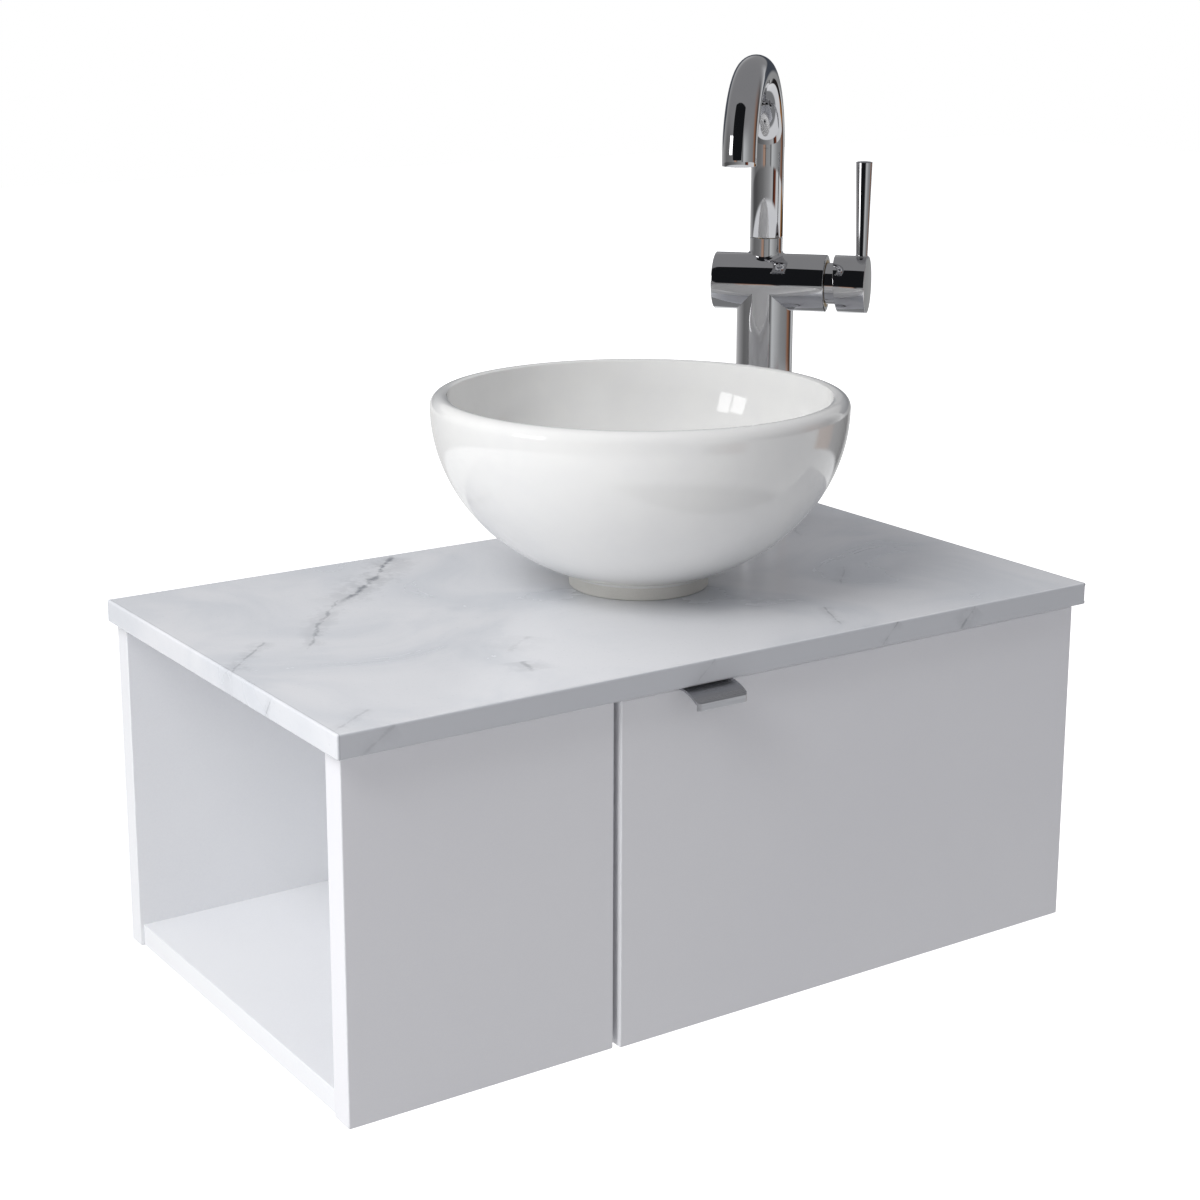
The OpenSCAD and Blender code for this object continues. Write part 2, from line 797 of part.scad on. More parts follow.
// Bush held in the waste's tube by three spokes, which guides the plug's stem
module plug_guide() {
    r = waste_d/2 - waste_wall;
    color("whitesmoke") at_bowl() difference() {
        union() {
            ring(r, r - 2, guide_top - guide_h, guide_h);
            ring(plug_stem_d/2 + 3, plug_stem_d/2 + run, guide_top - guide_h, guide_h);
            for (a = [90:120:330]) rotate([0, 0, a])
                translate([plug_stem_d/2 + 1.5, -1, guide_top - guide_h])
                    cube([r - plug_stem_d/2 - 2.5, 2, guide_h]);
        }
        translate([0, 0, guide_top - guide_h - 1]) cylinder(d = plug_stem_d + 2*run, h = guide_h + 2);
    }
}

module waste_plug() {
    color("silver") at_bowl() {
        rotate_extrude() polygon(concat(
            [[0, plug_z], [plug_r - 1, plug_z], [plug_r, plug_z + 1]],
            [for (i = [1:8]) [plug_r*cos(90*i/8), plug_z + 1 + plug_t*sin(90*i/8)]]));
        translate([0, 0, guide_top - guide_h - 6])
            cylinder(d = plug_stem_d, h = plug_z - guide_top + guide_h + 6.5);
    }
}

module plug_seal() {
    r = waste_d/2 - waste_wall - gap;
    color("black") at_bowl() ring(r, plug_stem_d/2, plug_z - 3, 3);
}

module waste_washer() {
    color("dimgray") at_bowl() ring(waste_d/2 + 13, waste_d/2 + 0.5, -slab_t - washer_t, washer_t);
}

module waste_nut() {
    color("silver") at_bowl() translate([0, 0, -slab_t - washer_t - waste_nut_h]) difference() {
        cylinder(r = waste_d/2 + 9, h = waste_nut_h, $fn = 6);
        translate([0, 0, -1]) cylinder(d = waste_d, h = waste_nut_h + 2);
    }
}

// ---------- trap ----------

module at_trap() {
    translate([bowl_x, trap_y, 0]) children();
}

module trap_inlet_nut() {
    low = cab_h - waste_drop - 6;
    nut_wall = 3.5;
    color("white") at_trap() difference() {
        ring(waste_d/2 + nut_wall, pipe_r, low, trap_nut_h);
        translate([0, 0, low + 3]) cylinder(d = waste_d, h = trap_nut_h);
        for (a = [0:30:330]) rotate([0, 0, a])
            rod_z([waste_d/2 + nut_wall + 1.1, 0, low - 1], 4, trap_nut_h + 2);
    }
}

module trap_tailpiece() {
    top = cab_h - waste_drop;
    low = trap_top - bottle_len + 8;
    color("white") at_trap() difference() {
        union() {
            cylinder_between(pipe_r, low, top);
            cylinder_between(waste_d/2 - 0.5, top - 3, top);
        }
        translate([0, 0, low - 1]) cylinder(r = pipe_r - pipe_wall, h = top - low + 2);
    }
}

module cylinder_between(r, low, high) {
    translate([0, 0, low]) cylinder(r = r, h = high - low);
}

module trap_body() {
    out_r = pipe_r + trap_fit + stub_wall;
    color("white") at_trap() difference() {
        union() {
            cylinder_between(bottle_r, trap_top - bottle_len, trap_top);
            cylinder_between(pipe_r + collar_wall, trap_top - 1, trap_top + collar_h);
            translate([0, 0, outlet_z]) rotate([-90, 0, 0])
                cylinder(r = out_r, h = bottle_r + stub_len);
        }
        cylinder_between(bottle_r - bottle_wall, trap_top - bottle_len - 1, trap_top - bottle_wall);
        cylinder_between(pipe_r + trap_fit, trap_top - 2*bottle_wall, trap_top + collar_h + 1);
        translate([0, 0, outlet_z]) rotate([-90, 0, 0])
            cylinder(r = pipe_r + trap_fit, h = bottle_r + stub_len + 1);
    }
}

module trap_cup() {
    low = trap_top - bottle_len + cup_over - cup_len;
    color("white") at_trap() difference() {
        union() {
            cylinder_between(bottle_r + cup_grip, low + 4, low + cup_len);
            translate([0, 0, low])
                cylinder(r1 = bottle_r - 4, r2 = bottle_r + cup_grip, h = 4 + eps);
        }
        cylinder_between(bottle_r - 1.5, low + 3, low + cup_len + 1);
        cylinder_between(bottle_r, low + cup_len - cup_over, low + cup_len + 1);
        for (a = [0:20:340]) rotate([0, 0, a])
            rod_z([bottle_r + cup_grip + 1.2, 0, low - 1], 3.6, cup_len - 8);
    }
}

// Rubber rings at the bottle's neck and at the outlet
module trap_seals() {
    y = bottle_r + stub_len;
    color("black") at_trap() {
        ring(pipe_r + collar_wall, pipe_r, trap_top + collar_h, trap_seal_t);
        translate([0, y, outlet_z]) rotate([-90, 0, 0])
            ring(pipe_r + trap_fit + stub_wall, pipe_r, 0, trap_seal_t);
    }
}

module grip_nut(r, bore, clear_bore, h, cap) {
    difference() {
        cylinder(r = r, h = h);
        translate([0, 0, -1]) cylinder(r = bore, h = h - cap + 1);
        translate([0, 0, -1]) cylinder(r = clear_bore, h = h + 2);
        for (a = [0:30:330]) rotate([0, 0, a]) rod_z([r + 1, 0, -1], 4, h + 2);
    }
}

module trap_outlet_nut() {
    stub_r = pipe_r + trap_fit + stub_wall;
    collar_r = pipe_r + collar_wall;
    over = trap_seal_t + trap_nut_cap;
    color("white") at_trap() {
        translate([0, bottle_r + stub_len - outlet_nut_over, outlet_z]) rotate([-90, 0, 0])
            grip_nut(stub_r + trap_nut_wall, stub_r, pipe_r, outlet_nut_over + over, trap_nut_cap);
        translate([0, 0, trap_top + neck_nut_up])
            grip_nut(collar_r + trap_nut_wall, collar_r, pipe_r, collar_h - neck_nut_up + over,
                     trap_nut_cap);
    }
}

module trap_outlet_tube() {
    start = trap_y + bottle_r + 4;
    color("white") translate([bowl_x, start, outlet_z]) rotate([-90, 0, 0])
        ring(pipe_r, pipe_r - pipe_wall, 0, -start);
}

// ---------- mixer ----------

// The mixer's own frame: z = 0 on the countertop, lever along +X, spout along -Y
module at_mixer() {
    translate([mixer_x, -mixer_from_wall, slab_top]) rotate([0, 0, -mixer_turn]) children();
}

// Cylinder along the cross body's axis
module along_axis(x, r, len) {
    translate([x, 0, axis_h]) rotate([0, 90, 0]) cylinder(r = r, h = len);
}

module mixer_base_gasket() {
    color("black") at_mixer() ring(base_r - 2, base_r - 4.5, 0, 1.5);
}

module mixer_base_ring() {
    color("silver") at_mixer() rotate_extrude() difference() {
        polygon([[shank_r, 0], [base_r, 0], [base_r, base_h - base_chamfer],
                 [base_r - base_chamfer, base_h], [shank_r, base_h]]);
        translate([base_r - 4.5, -1]) square([2.5, 2.5]);
    }
}

module mixer_body() {
    stub_top = joint_h;
    color("silver") at_mixer() difference() {
        union() {
            cylinder_between(column_r, base_h, axis_h);
            along_axis(-cross_left, cross_r, cross_left + cross_right);
            cylinder_between(spout_r, axis_h, stub_top);
        }
        cylinder_between(shank_r, base_h - 1, base_h + shank_up);
        cylinder_between(column_r - column_wall, base_h + shank_up - 1, inlet_z);
        for (s = [-1, 1]) {
            translate([0, s*inlet_y, inlet_z - 1]) cylinder(r = inlet_r, h = inlet_len + 1);
            translate([0, s*inlet_y, inlet_z]) cylinder(r = port_r, h = axis_h - port_drop - inlet_z);
            translate([0, s*inlet_y, axis_h - port_drop]) rotate([0, 90, 0])
                cylinder(r = port_r, h = cart_seat + 1);
        }
        cylinder_between(stub_bore, axis_h + 5, stub_top + 1);
        translate([0, 0, axis_h + 9.5]) rotate([0, 90, 0]) cylinder(r = port_r, h = cart_seat + 1);
        along_axis(cart_seat, nut_r, cross_right);
    }
}

module mixer_shank() {
    color("goldenrod") at_mixer()
        ring(shank_r, shank_r - shank_wall, -shank_down, shank_down + base_h + shank_up);
}

module mixer_washer() {
    color("dimgray") at_mixer() ring(mixer_washer_r, shank_r + 0.5, -slab_t - washer_t, washer_t);
}

module mixer_nut() {
    color("goldenrod") at_mixer() translate([0, 0, -slab_t - washer_t - mixer_nut_h]) difference() {
        cylinder(r = shank_r + 8, h = mixer_nut_h, $fn = 6);
        translate([0, 0, -1]) cylinder(r = shank_r, h = mixer_nut_h + 2);
    }
}

module cartridge() {
    color("steelblue") at_mixer() difference() {
        along_axis(cart_seat, cart_r, cart_len);
        for (s = [-1, 1])
            translate([cart_seat - 1, s*inlet_y, axis_h - port_drop]) rotate([0, 90, 0])
                cylinder(r = port_r, h = 13);
        translate([cart_seat - 1, 0, axis_h + 9.5]) rotate([0, 90, 0]) cylinder(r = port_r, h = 13);
        along_axis(cart_end - 8, turn_r + 1, 9);
    }
}

module cartridge_nut() {
    color("goldenrod") at_mixer() difference() {
        along_axis(cart_end, nut_r, cross_right - cart_end);
        along_axis(cart_end - 1, turn_r + run, cross_right - cart_end + 2);
    }
}

// Turning head of the cartridge, slotted for the tilting spindle
module lever_turntable() {
    low = turn_neck_len + 6;
    slot = spindle_r + 0.1;
    color("silver") at_mixer() difference() {
        union() {
            along_axis(cart_end - 3, turn_r, cross_right - cart_end + 4);
            along_axis(cross_right + gap, turn_neck_r, turn_neck_len - gap);
        }
        block([cart_end - 4, -slot, axis_h - low],
              [cross_right + turn_neck_len + 1, slot, axis_h + slot + 3.5]);
        lever_pin_rod(lever_pin_r);
    }
}

module lever_pin_rod(r) {
    translate([pivot_x, -turn_r + 0.6, axis_h]) rotate([-90, 0, 0])
        cylinder(r = r, h = 2*turn_r - 1.2, $fn = 48);
}

module lever_pin() {
    color("gray") at_mixer() lever_pin_rod(lever_pin_r);
}

module lever_spindle() {
    color("gray") at_mixer() difference() {
        along_axis(pivot_x - 7, spindle_r, spindle_end - pivot_x + 7);
        lever_pin_rod(lever_pin_r + run);
        rod_z([set_screw_x, 0, axis_h - spindle_r - 1], 2*set_screw_r, 2);
    }
}

module lever_set_screw() {
    color("dimgray") at_mixer() difference() {
        rod_z([set_screw_x, 0, axis_h - cross_r + 6], 2*set_screw_r, cross_r - 6 - spindle_r + 1);
        translate([set_screw_x, 0, axis_h - cross_r + 5]) cylinder(d = 2.3, h = 3.5, $fn = 6);
    }
}

module lever_knob() {
    color("silver") at_mixer() difference() {
        along_axis(cross_right, cross_r, knob_end - cross_right);
        along_axis(cross_right - 1, knob_bore_r, knob_floor - cross_right + 1);
        // slanted inner face, so that the knob can tilt
        translate([0, 0, axis_h]) rotate([90, 0, 0]) translate([0, 0, -cross_r - 1])
            linear_extrude(2*cross_r + 2) polygon([
                [cross_right - 1, cross_r + 1], [knob_top, cross_r + 1],
                [knob_bottom, -cross_r - 1], [cross_right - 1, -cross_r - 1]]);
        along_axis(knob_floor - 1, spindle_r, spindle_end - knob_floor + 1);
        rod_z([set_screw_x, 0, axis_h - cross_r - 1], 2*set_screw_r, cross_r);
        rod_z([rod_x, 0, axis_h + cross_r - stud_len], 2*stud_r, stud_len + 1);
    }
}

module lever_rod() {
    low = axis_h + cross_r - 2;
    tip = axis_h + rod_top;
    color("silver") at_mixer() {
        difference() {
            translate([rod_x, 0, low]) cylinder(d1 = rod_low_d, d2 = rod_tip_d, h = tip - low);
            along_axis(rod_x - 10, cross_r, 20);
        }
        rod_z([rod_x, 0, axis_h + cross_r - stud_len], 2*stud_r, stud_len + 2);
    }
}

// ---------- spout ----------

module spout_nipple() {
    color("goldenrod") at_mixer() difference() {
        union() {
            cylinder_between(stub_bore, joint_h - 18, joint_h);
            cylinder_between(nipple_r, joint_h, joint_h + nipple_h);
        }
        cylinder_between(nipple_bore, joint_h - 19, joint_h + nipple_h + 1);
        for (z = oring_zs) ring(nipple_r + 1, nipple_r - oring_deep, z, oring_h);
        ring(nipple_r + 1, nipple_r - 1, joint_h + nipple_h - clip_h - 0.8, clip_h);
    }
}

module spout_orings() {
    color("black") at_mixer() for (z = oring_zs) ring(nipple_r, nipple_r - oring_deep, z, oring_h);
}

module spout_clip() {
    color("gray") at_mixer() difference() {
        ring(spout_in - gap, nipple_r - 1, joint_h + nipple_h - clip_h - 0.8, clip_h);
        block([-1.5, 0, joint_h], [1.5, spout_in, joint_h + nipple_h]);
    }
}

module spout_bush() {
    color("whitesmoke") at_mixer() ring(spout_in, nipple_r + run, joint_h + gap, bush_h - gap);
}

// Cane of radius r that follows the spout's centre line
module spout_cane(r, start, end) {
    cylinder_between(r, start, bend_z);
    translate([0, -bend_r, bend_z]) rotate([90, 0, 90])
        rotate_extrude(angle = 180, $fn = 144) translate([bend_r, 0]) circle(r = r);
    translate([0, -2*bend_r, 0]) cylinder_between(r, end, bend_z);
}

module spout_tube() {
    color("silver") at_mixer() difference() {
        spout_cane(spout_r, joint_h + gap, outlet_z2);
        spout_cane(spout_in, joint_h - 1, outlet_z2 - 1);
        // straight counterbore for the aerator, where the tube already bends
        translate([0, -2*bend_r, 0])
            cylinder_between(aerator_r, outlet_z2 - 1, outlet_z2 + aerator_lift + aerator_h);
    }
}

module aerator_housing() {
    z = outlet_z2 + aerator_lift;
    color("dimgray") at_mixer() translate([0, -2*bend_r, 0]) difference() {
        ring(aerator_r, aerator_r - aerator_wall, z, aerator_h);
        for (a = [0, 90]) rotate([0, 0, a])
            block([-1, -aerator_r - 1, z - 1], [1, aerator_r + 1, z + 1]);
    }
}

module aerator_insert() {
    z = outlet_z2 + aerator_lift;
    r = aerator_r - aerator_wall;
    color("gainsboro") at_mixer() translate([0, -2*bend_r, 0]) difference() {
        cylinder_between(r, z + 1.2, z + aerator_h - 0.8);
        for (row = [1:3], k = [0:6*row - 1]) rotate([0, 0, 60*k/row])
            rod_z([row*2.6, 0, z], 1.3, aerator_h + 1);
    }
}

countertop();
back_panel();
bottom_panel();
side_panel();
divider_panel();
fixed_front();
top_rail_front();
top_rail_back();
carcass_dowels();
back_screws();
countertop_brackets();
bracket_screws();
door_panel();
door_pull();
pull_screws();
hinge_cups();
hinge_pins();
hinge_cup_screws();
door_bumpers();
hinge_arms();
hinge_plates();
hinge_plate_screws();
basin();
basin_gasket();
waste_body();
waste_seal();
plug_guide();
waste_plug();
plug_seal();
waste_washer();
waste_nut();
trap_inlet_nut();
trap_tailpiece();
trap_body();
trap_cup();
trap_seals();
trap_outlet_nut();
trap_outlet_tube();
mixer_base_ring();
mixer_base_gasket();
mixer_body();
mixer_shank();
mixer_washer();
mixer_nut();
cartridge();
cartridge_nut();
lever_turntable();
lever_pin();
lever_spindle();
lever_knob();
lever_rod();
lever_set_screw();
spout_nipple();
spout_orings();
spout_clip();
spout_bush();
spout_tube();
aerator_housing();
aerator_insert();
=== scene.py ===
"""Wall-hung vanity: a stone-look countertop on a white cabinet, with a vessel basin and a
tall single-lever mixer. The sections follow the order in which it is put together."""
import json
import math

import bmesh
import bpy
from mathutils import Matrix, Vector


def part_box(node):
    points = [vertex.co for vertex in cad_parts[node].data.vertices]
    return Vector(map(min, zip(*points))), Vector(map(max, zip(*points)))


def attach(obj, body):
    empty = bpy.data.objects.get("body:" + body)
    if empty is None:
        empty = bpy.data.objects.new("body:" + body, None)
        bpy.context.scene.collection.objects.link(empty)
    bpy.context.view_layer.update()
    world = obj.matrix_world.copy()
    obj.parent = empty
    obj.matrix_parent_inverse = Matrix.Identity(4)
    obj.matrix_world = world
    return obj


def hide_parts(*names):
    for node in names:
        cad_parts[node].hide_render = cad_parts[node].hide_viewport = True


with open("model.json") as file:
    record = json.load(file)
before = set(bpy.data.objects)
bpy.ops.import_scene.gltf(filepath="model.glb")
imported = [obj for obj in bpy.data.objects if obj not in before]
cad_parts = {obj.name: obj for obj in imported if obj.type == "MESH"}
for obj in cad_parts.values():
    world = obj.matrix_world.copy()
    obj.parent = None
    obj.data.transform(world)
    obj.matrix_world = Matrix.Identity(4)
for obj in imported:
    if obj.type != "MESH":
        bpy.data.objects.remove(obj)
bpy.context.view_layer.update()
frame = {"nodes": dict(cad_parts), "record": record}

# ---- Carcass boards ---------------------------------------------------------------------
# Melamine-faced chipboard, 16 mm, sawn square and closed with a thin plastic band on each
# edge. The band is ironed on and its corners are broken by half a millimetre with a scraper.


def paint(red, green, blue):
    """Colour of a paint chip, each channel 0 to 255, in the shader's linear values."""
    chip = [value / 255 for value in (red, green, blue)]
    return [c / 12.92 if c < 0.04 else ((c + 0.055) / 1.055) ** 2.4 for c in chip] + [1.0]


def new_group(name, inputs, outputs):
    """Empty shader group with its sockets: (name, kind, default) in, (name, kind) out."""
    group = bpy.data.node_groups.new(name, "ShaderNodeTree")
    for label, kind, value in inputs:
        socket = group.interface.new_socket(label, in_out="INPUT", socket_type="NodeSocket" + kind)
        socket.default_value = value
    for label, kind in outputs:
        group.interface.new_socket(label, in_out="OUTPUT", socket_type="NodeSocket" + kind)
    return group


class Sheet:
    """Short hand for placing and wiring the nodes of one tree."""

    def __init__(self, tree):
        self.tree = tree

    def add(self, kind, settings=None, **inputs):
        node = self.tree.nodes.new("ShaderNode" + kind)
        for key, value in (settings or {}).items():
            setattr(node, key, value)
        for key, value in inputs.items():
            self.feed(node.inputs[key.replace("_", " ")], value)
        return node

    def feed(self, socket, value):
        if isinstance(value, bpy.types.NodeSocket):
            self.tree.links.new(value, socket)
        else:
            socket.default_value = value

    def maths(self, operation, first, second=0.0, clamp=False):
        node = self.tree.nodes.new("ShaderNodeMath")
        node.operation = operation
        node.use_clamp = clamp
        self.feed(node.inputs[0], first)
        self.feed(node.inputs[1], second)
        return node.outputs[0]

    def vector(self, operation, first, second):
        node = self.tree.nodes.new("ShaderNodeVectorMath")
        node.operation = operation
        self.feed(node.inputs[0], first)
        self.feed(node.inputs[1], second)
        return node.outputs["Value" if operation in ("DOT_PRODUCT", "LENGTH") else "Vector"]

    def step(self, value, low, high, to_low=0.0, to_high=1.0):
        node = self.add("MapRange", {"interpolation_type": "SMOOTHSTEP"})
        for name, number in (("Value", value), ("From Min", low), ("From Max", high),
                             ("To Min", to_low), ("To Max", to_high)):
            self.feed(node.inputs[name], number)
        return node.outputs["Result"]

    def blend(self, factor, first, second):
        node = self.add("Mix", {"data_type": "RGBA"})
        colours = [socket for socket in node.inputs if socket.type == "RGBA"]
        self.feed(node.inputs[0], factor)
        self.feed(colours[0], first)
        self.feed(colours[1], second)
        return [socket for socket in node.outputs if socket.type == "RGBA"][0]


# Patches of tone, patches of gloss and fine relief that no made surface is without
finish_group = new_group(
    "worked_surface",
    [("Tone", "Color", (0.8, 0.8, 0.8, 1)), ("Second Tone", "Color", (0.7, 0.7, 0.7, 1)),
     ("Patch Scale", "Float", 6.0), ("Grain Scale", "Float", 900.0),
     ("Stretch", "Vector", (1.0, 1.0, 1.0)),
     ("Gloss Low", "Float", 0.3), ("Gloss High", "Float", 0.4)],
    [("Colour", "Color"), ("Roughness", "Float"), ("Height", "Float")])
sheet = Sheet(finish_group)
given = finish_group.nodes.new("NodeGroupInput")
given_out = finish_group.nodes.new("NodeGroupOutput")
place = sheet.vector("MULTIPLY", sheet.add("TexCoord").outputs["Object"], given.outputs["Stretch"])
patches = sheet.add("TexNoise", Vector=place, Scale=given.outputs["Patch Scale"], Detail=4.0)
grain = sheet.add("TexNoise", Vector=place, Scale=given.outputs["Grain Scale"], Detail=3.0)
mixed = sheet.maths("ADD", sheet.maths("MULTIPLY", patches.outputs[0], 0.65),
                    sheet.maths("MULTIPLY", grain.outputs[0], 0.35))
tone = sheet.step(mixed, 0.36, 0.64)
gloss = sheet.add("MapRange", Value=tone)
sheet.feed(gloss.inputs["To Min"], given.outputs["Gloss Low"])
sheet.feed(gloss.inputs["To Max"], given.outputs["Gloss High"])
sheet.feed(given_out.inputs["Colour"],
           sheet.blend(tone, given.outputs["Tone"], given.outputs["Second Tone"]))
sheet.feed(given_out.inputs["Roughness"], gloss.outputs["Result"])
sheet.feed(given_out.inputs["Height"], grain.outputs[0])


def finish(name, tone, second, patch, grain, gloss, relief=0.0, stretch=(1, 1, 1), **shader):
    """Material of one finish. gloss is its lowest and highest roughness, relief in metres."""
    material = bpy.data.materials.new(name)
    material.use_nodes = True
    work = Sheet(material.node_tree)
    surface = material.node_tree.nodes["Principled BSDF"]
    group = work.add("Group", {"node_tree": finish_group})
    for label, value in (("Tone", tone), ("Second Tone", second), ("Patch Scale", patch),
                         ("Grain Scale", grain), ("Stretch", stretch),
                         ("Gloss Low", gloss[0]), ("Gloss High", gloss[1])):
        group.inputs[label].default_value = value
    work.feed(surface.inputs["Base Color"], group.outputs["Colour"])
    work.feed(surface.inputs["Roughness"], group.outputs["Roughness"])
    if relief:
        bump = work.add("Bump", Height=group.outputs["Height"], Distance=relief)
        bump.inputs["Strength"].default_value = 0.6
        work.feed(surface.inputs["Normal"], bump.outputs["Normal"])
    for label, value in shader.items():
        surface.inputs[label.replace("_", " ")].default_value = value
    return material


def dress(material, *nodes):
    """Gives CAD nodes their finish."""
    for name in nodes:
        for slot in frame["nodes"][name].material_slots:
            slot.material = material


def settle(name, bm, materials, body, slot, *nodes, crease=32):
    """Turns a bmesh into a finished piece that stands for CAD nodes."""
    mesh = bpy.data.meshes.new(name)
    bm.to_mesh(mesh)
    bm.free()
    for material in materials:
        mesh.materials.append(material)
    mesh.shade_smooth()
    mesh.set_sharp_from_angle(angle=math.radians(crease))
    made = bpy.data.objects.new(name, mesh)
    bpy.context.collection.objects.link(made)
    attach(made, body)
    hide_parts(*nodes)
    return made


def merged_copy(node):
    """The CAD mesh of a node as one closed bmesh with its flat faces joined."""
    bm = bmesh.new()
    bm.from_mesh(frame["nodes"][node].data)
    bmesh.ops.remove_doubles(bm, verts=bm.verts, dist=0.000002)
    bmesh.ops.dissolve_limit(bm, angle_limit=math.radians(0.5), verts=bm.verts, edges=bm.edges)
    return bm


melamine = finish("white_melamine", paint(242, 243, 245), paint(238, 239, 242), 5, 700,
                  (0.32, 0.42), relief=0.00002, Coat_Weight=0.15, Coat_Roughness=0.3)
band_break = 0.0006
long_edge = 0.012
for board in ("back_panel", "bottom_panel", "side_panel", "divider_panel"):
    bm = merged_copy(board)
    edges = [edge for edge in bm.edges if len(edge.link_faces) == 2
             and edge.calc_length() > long_edge and edge.calc_face_angle() > 1.2]
    bmesh.ops.bevel(bm, geom=edges, offset=band_break, offset_type="OFFSET", affect="EDGES",
                    segments=3, profile=0.5, material=-1, clamp_overlap=False)
    eased = settle("eased_" + board, bm, [melamine], "cabinet", "white_board", board)
    for face in eased.data.polygons:
        face.use_smooth = max(abs(part) for part in face.normal) < 0.999
dress(melamine, "top_rail_front", "top_rail_back")

# ---- Dowels, screws and countertop brackets ---------------------------------------------
# Fluted beech dowels glued into the boards, zinc-plated screws through the back, and four
# folded steel angles that hold the countertop from inside the door's compartment.

beech = finish("beech", paint(206, 168, 124), paint(180, 138, 94), 40, 700, (0.6, 0.75),
               relief=0.0001, stretch=(1, 0.25, 1))
zinc = finish("zinc_plate", paint(196, 199, 204), paint(170, 174, 184), 90, 2400, (0.22, 0.38),
              relief=0.00001, Metallic=1.0)
dress(beech, "carcass_dowels")
dress(zinc, "back_screws", "bracket_screws", "countertop_brackets", "pull_screws",
      "hinge_cup_screws", "hinge_plate_screws")

# ---- Countertop -------------------------------------------------------------------------
# A 16 mm board with a marble-look decor pressed over its top and rolled round its front,
# and a band of the same decor at each end. Grey veins wander from the wall to the left end.

slab_low, slab_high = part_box("countertop")

# One vein: a soft line from a start along a direction, which wanders and breaks up
vein_group = new_group(
    "stone_vein",
    [("Start", "Vector", (0, 0, 0)), ("Along", "Vector", (1, 0, 0)),
     ("Across", "Vector", (0, 1, 0)), ("Length", "Float", 0.1), ("Width", "Float", 0.003),
     ("Wander", "Float", 0.01), ("Bend", "Float", 0.0), ("Seed", "Float", 0.0)],
    [("Mask", "Float")])
sheet = Sheet(vein_group)
given = vein_group.nodes.new("NodeGroupInput")
given_out = vein_group.nodes.new("NodeGroupOutput")
place = sheet.add("TexCoord").outputs["Object"]
offset = sheet.vector("SUBTRACT", place, given.outputs["Start"])
along = sheet.vector("DOT_PRODUCT", offset, given.outputs["Along"])
across = sheet.vector("DOT_PRODUCT", offset, given.outputs["Across"])
share = sheet.maths("DIVIDE", along, given.outputs["Length"])
shifted = sheet.vector("ADD", place, given.outputs["Seed"])
wander = sheet.add("TexNoise", Vector=shifted, Scale=28.0, Detail=5.0, Roughness=0.62)
swing = sheet.maths("MULTIPLY", sheet.maths("SUBTRACT", wander.outputs[0], 0.5),
                    given.outputs["Wander"])
bow = sheet.maths("MULTIPLY", sheet.maths("MULTIPLY", share, sheet.maths("SUBTRACT", 1.0, share)),
                  given.outputs["Bend"])
away = sheet.maths("ABSOLUTE", sheet.maths("ADD", across, sheet.maths("ADD", swing, bow)))
breaks = sheet.add("TexNoise", Vector=shifted, Scale=60.0, Detail=4.0, Roughness=0.7)
reach = sheet.maths("MULTIPLY", given.outputs["Width"],
                    sheet.step(breaks.outputs[0], 0.3, 0.62, 0.35, 1.5))
core = sheet.step(away, 0.0, reach, 1.0, 0.0)
haze = sheet.step(away, 0.0, sheet.maths("MULTIPLY", reach, 5.0), 0.32, 0.0)
ends = sheet.maths("MULTIPLY", sheet.step(share, -0.03, 0.06),
                   sheet.step(share, 0.75, 1.03, 1.0, 0.0))
fade = sheet.step(breaks.outputs[0], 0.36, 0.56, 0.25, 1.0)
line = sheet.maths("MULTIPLY", sheet.maths("MAXIMUM", core, haze), fade)
sheet.feed(given_out.inputs["Mask"], sheet.maths("MULTIPLY", line, ends, clamp=True))

marble = bpy.data.materials.new("marble_decor")
marble.use_nodes = True
sheet = Sheet(marble.node_tree)
surface = marble.node_tree.nodes["Principled BSDF"]
place = sheet.add("TexCoord").outputs["Object"]
split = sheet.add("SeparateXYZ", Vector=place)


def vein(start, end, width, wander, strength, bend=0.0, seed=0.0):
    """Mask of a vein from one point of the slab to another, in metres."""
    start, end = Vector(start), Vector(end)
    course = end - start
    face = Vector((0, 0, 1)) if abs(course.z) < 0.001 else Vector((0, 1, 0))
    if abs(course.x) < 0.001:
        face = Vector((1, 0, 0))
    node = sheet.add("Group", {"node_tree": vein_group})
    for label, value in (("Start", start), ("Along", course.normalized()),
                         ("Across", course.normalized().cross(face)), ("Length", course.length),
                         ("Width", width), ("Wander", wander), ("Bend", bend), ("Seed", seed)):
        node.inputs[label].default_value = value
    return sheet.maths("MULTIPLY", node.outputs["Mask"], strength)


top = slab_high.z
under = slab_low.z
front = slab_low.y
# the decor's side faces: how deep a point may lie, and where the change to the top begins
near_face, on_face = 0.0006, 0.0002
on_front = sheet.step(split.outputs["Y"], front + near_face, front + on_face)
